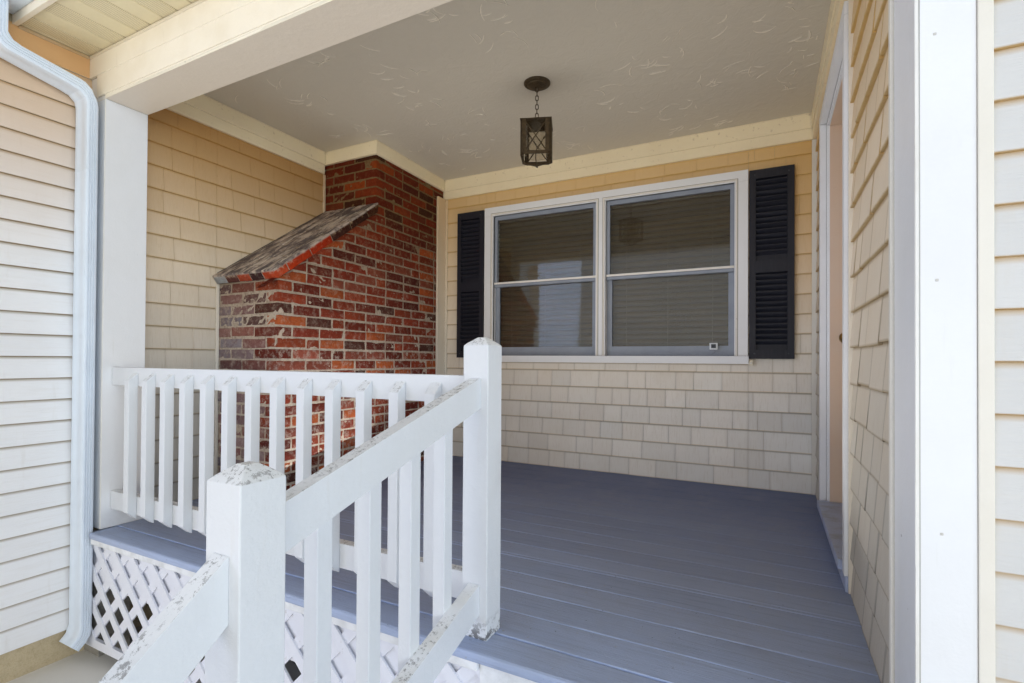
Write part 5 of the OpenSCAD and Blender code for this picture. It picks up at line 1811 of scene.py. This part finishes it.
windowGlass = makeFinish("windowGlass", {
    "colour": (236, 242, 242),
    "roughness": 0.02,
    "clear": 1.0,
    "ior": 1.5,
    "layers": [blotches(3, 0.45, 0.8, (228, 238, 238), detail=3)],
    "bumps": [unevenness(0.9, 0.0004, detail=0, low=0.2, high=0.8)],
})
shutterPlastic = makeFinish("shutterPlastic", {
    "colour": (32, 34, 44),
    "roughness": 0.48,
    "layers": [
        streaks((60, 60, 4), 0.5, 0.75, (52, 54, 64), 0.4, detail=5),
        facing("Z", 0.2, 0.9, (96, 98, 104), 0.35, times=[blotches(30, 0.4, 0.65, detail=5)]),
    ],
    "bumps": [grainRelief((150, 150, 8), 0.0006)],
})
doorPaint = makeFinish("doorPaint", {
    "colour": (206, 184, 160),
    "roughness": 0.4,
    "layers": [
        blotches(3, 0.42, 0.75, (184, 160, 136), 0.35, detail=5),
        blotches(30, 0.66, 0.74, (150, 130, 110), 0.4, detail=5),
        # Painted shade in corners and between parts.
        paintedCornerShade(0.02, 0.7, 0.2, (110, 88, 68), 0.5),
    ],
    "bumps": [grainRelief((120, 120, 9), 0.0005)],
})
doorCasingPaint = makeFinish("doorCasingPaint", {
    "colour": (238, 240, 243),
    "roughness": 0.42,
    "layers": [
        fade("X", 1.514, 1.517, (222, 196, 172)),
        blotches(4, 0.45, 0.75, (212, 206, 198), 0.25, detail=6),
        # Painted shade in corners and between parts.
        paintedCornerShade(0.02, 0.7, 0.25, (120, 108, 96), 0.5),
    ],
    "bumps": [unevenness(60, 0.0005)],
})
agedBrass = makeFinish("agedBrass", {
    "colour": (176, 146, 92),
    "roughness": 0.34,
    "metallic": 1.0,
    "layers": [
        blotches(60, 0.45, 0.7, (96, 74, 44), 0.6, detail=5, roughness=0.55),
        blotches(14, 0.5, 0.8, (120, 112, 84), 0.4),
    ],
    "bumps": [unevenness(160, 0.0003)],
})
lanternBronze = makeFinish("lanternBronze", {
    "colour": (84, 70, 50),
    "roughness": 0.5,
    "metallic": 0.4,
    "layers": [
        blotches(45, 0.45, 0.68, (46, 38, 28), 0.65, detail=6, roughness=0.7),
        blotches(120, 0.6, 0.7, (136, 116, 82), 0.45),
    ],
    "bumps": [unevenness(200, 0.0006, detail=5)],
})
lanternGlass = makeFinish("lanternGlass", {
    "colour": (240, 236, 226),
    "roughness": 0.05,
    "clear": 1.0,
    "ior": 1.45,
    "layers": [blotches(24, 0.5, 0.75, detail=5, roughness=0.25)],
    "bumps": [unevenness(40, 0.0005, detail=2)],
})
sillPaint = makeFinish("sillPaint", {
    "colour": (174, 186, 216),
    "roughness": 0.5,
    "layers": [
        blotches(14, 0.45, 0.7, (130, 128, 126), 0.5, detail=6),
        blotches(60, 0.66, 0.72, (92, 80, 66), 0.7),
    ],
    "bumps": [unevenness(90, 0.0006)],
})
nodeFinishes = [
    (wallBoard, 0.0, ["left_wall", "back_wall", "right_wall_near", "right_wall_far", "right_wall_head",
                      "right_wall_base", "front_wall"]),
    (roughConcrete, 0.004, ["chimney_cap", "deck_piers"]),
    (bareTimber, 0.002, ["roof_deck"]),
    (whitePaint, 0.0022, ["deck_skirt", "stair_stringers", "pilasters"]),
    (railingPaint, 0.0022, ["handrails", "balusters"]),
    (latticePaint, 0.0015, ["lattice", "deck_frame"]),
    (doorCasingPaint, 0.0022, ["door_frame"]),
    (whitePaint, 0.0018, ["window_casing"]),
    (creamTrim, 0.0018, ["frieze", "fascia"]),
    (beamPaint, 0.0022, ["beam"]),
    (trimVinyl, 0.0018, ["wall_trims"]),
    (gutterPaint, 0.0018, ["gutter"]),
    (crownPaint, 0.004, ["crown_molding"]),
    (sashPaint, 0.0015, ["window_sashes"]),
    (windowGlass, 0.0, ["window_glass"]),
    (shutterPlastic, 0.0012, ["shutters"]),
    (sillPaint, 0.004, ["door_sill"]),
    (doorPaint, 0.0018, ["door_leaf"]),
    (agedBrass, 0.0004, ["door_hinges", "door_hardware"]),
    (lanternBronze, 0.0005, ["lantern_hanger", "lantern_cage"]),
    (lanternGlass, 0.0, ["lantern_glass"]),
]
for finish, edge, names in nodeFinishes:
    for name in names:
        dressNode(name, finish, edge)
print("scene: frame nodes dressed")

# Pale floor, soft cool light from the sky side, warm light from the ground in front.
studio = {
    "floorSize": 60,
    "floorColour": (232, 228, 220),
    "worldColour": (0.951, 0.977, 1.0),
    "worldStrength": 0.43,
    "lamps": [
        {"name": "rightLamp", "place": (8.5, -5.0, 2.8), "aim": (-1.5, 0.0, 1.5), "size": (5, 4),
         "power": 400, "colour": (0.758, 0.878, 1.0)},
        {"name": "leftLamp", "place": (-7.5, -9.5, 3.0), "aim": (1.2, 0.6, 1.4), "size": (7, 5),
         "power": 355, "colour": (0.513, 0.643, 1.0)},
        {"name": "groundLamp", "place": (0.4, -6.5, 0.3), "aim": (0.0, 1.2, 2.9), "size": (10, 3),
         "power": 287, "colour": (1.0, 0.94, 0.82)},
        {"name": "deckLamp", "place": (-0.1, 0.35, 0.9), "aim": (-0.1, -0.05, 3.0), "size": (2.6, 0.9),
         "power": 13.5, "colour": (1.0, 0.97, 0.9)},
    ],
}


def addStudio():
    world = bpy.data.worlds.new("softWorld")
    bpy.context.scene.world = world
    world.use_nodes = True
    tree = world.node_tree
    light = tree.nodes["Background"]
    light.inputs[0].default_value = (*studio["worldColour"], 1)
    light.inputs[1].default_value = studio["worldStrength"]
    white = tree.nodes.new("ShaderNodeBackground")
    white.inputs[1].default_value = 1.0
    rays = tree.nodes.new("ShaderNodeLightPath")
    seen = calculate(tree, "MAXIMUM", rays.outputs["Is Camera Ray"], rays.outputs["Is Glossy Ray"])
    seen = calculate(tree, "MAXIMUM", seen, rays.outputs["Is Transmission Ray"])
    choose = tree.nodes.new("ShaderNodeMixShader")
    tree.links.new(seen, choose.inputs[0])
    tree.links.new(light.outputs[0], choose.inputs[1])
    tree.links.new(white.outputs[0], choose.inputs[2])
    tree.links.new(choose.outputs[0], tree.nodes["World Output"].inputs["Surface"])
    bpy.ops.mesh.primitive_plane_add(size=studio["floorSize"])
    floor = bpy.context.object
    floor.name = "studioFloor"
    floor.data.materials.append(makeFinish("floorPaint", {
        "colour": studio["floorColour"],
        "roughness": 0.9,
        "specular": 0.1,
        "layers": [blotches(0.7, 0.4, 0.8, (206, 202, 194), 0.12)],
    }))
    for lamp in studio["lamps"]:
        data = bpy.data.lights.new(lamp["name"], "AREA")
        data.shape = "RECTANGLE"
        data.size, data.size_y = lamp["size"]
        data.energy = lamp["power"]
        data.color = lamp["colour"]
        holder = bpy.data.objects.new(lamp["name"], data)
        bpy.context.collection.objects.link(holder)
        holder.location = lamp["place"]
        aim = Vector(lamp["aim"]) - Vector(lamp["place"])
        holder.rotation_euler = aim.to_track_quat("-Z", "Y").to_euler()
        holder.visible_camera = False
        holder.visible_glossy = False


addStudio()
bpy.context.scene.view_settings.view_transform = "Standard"
print("scene: finished")
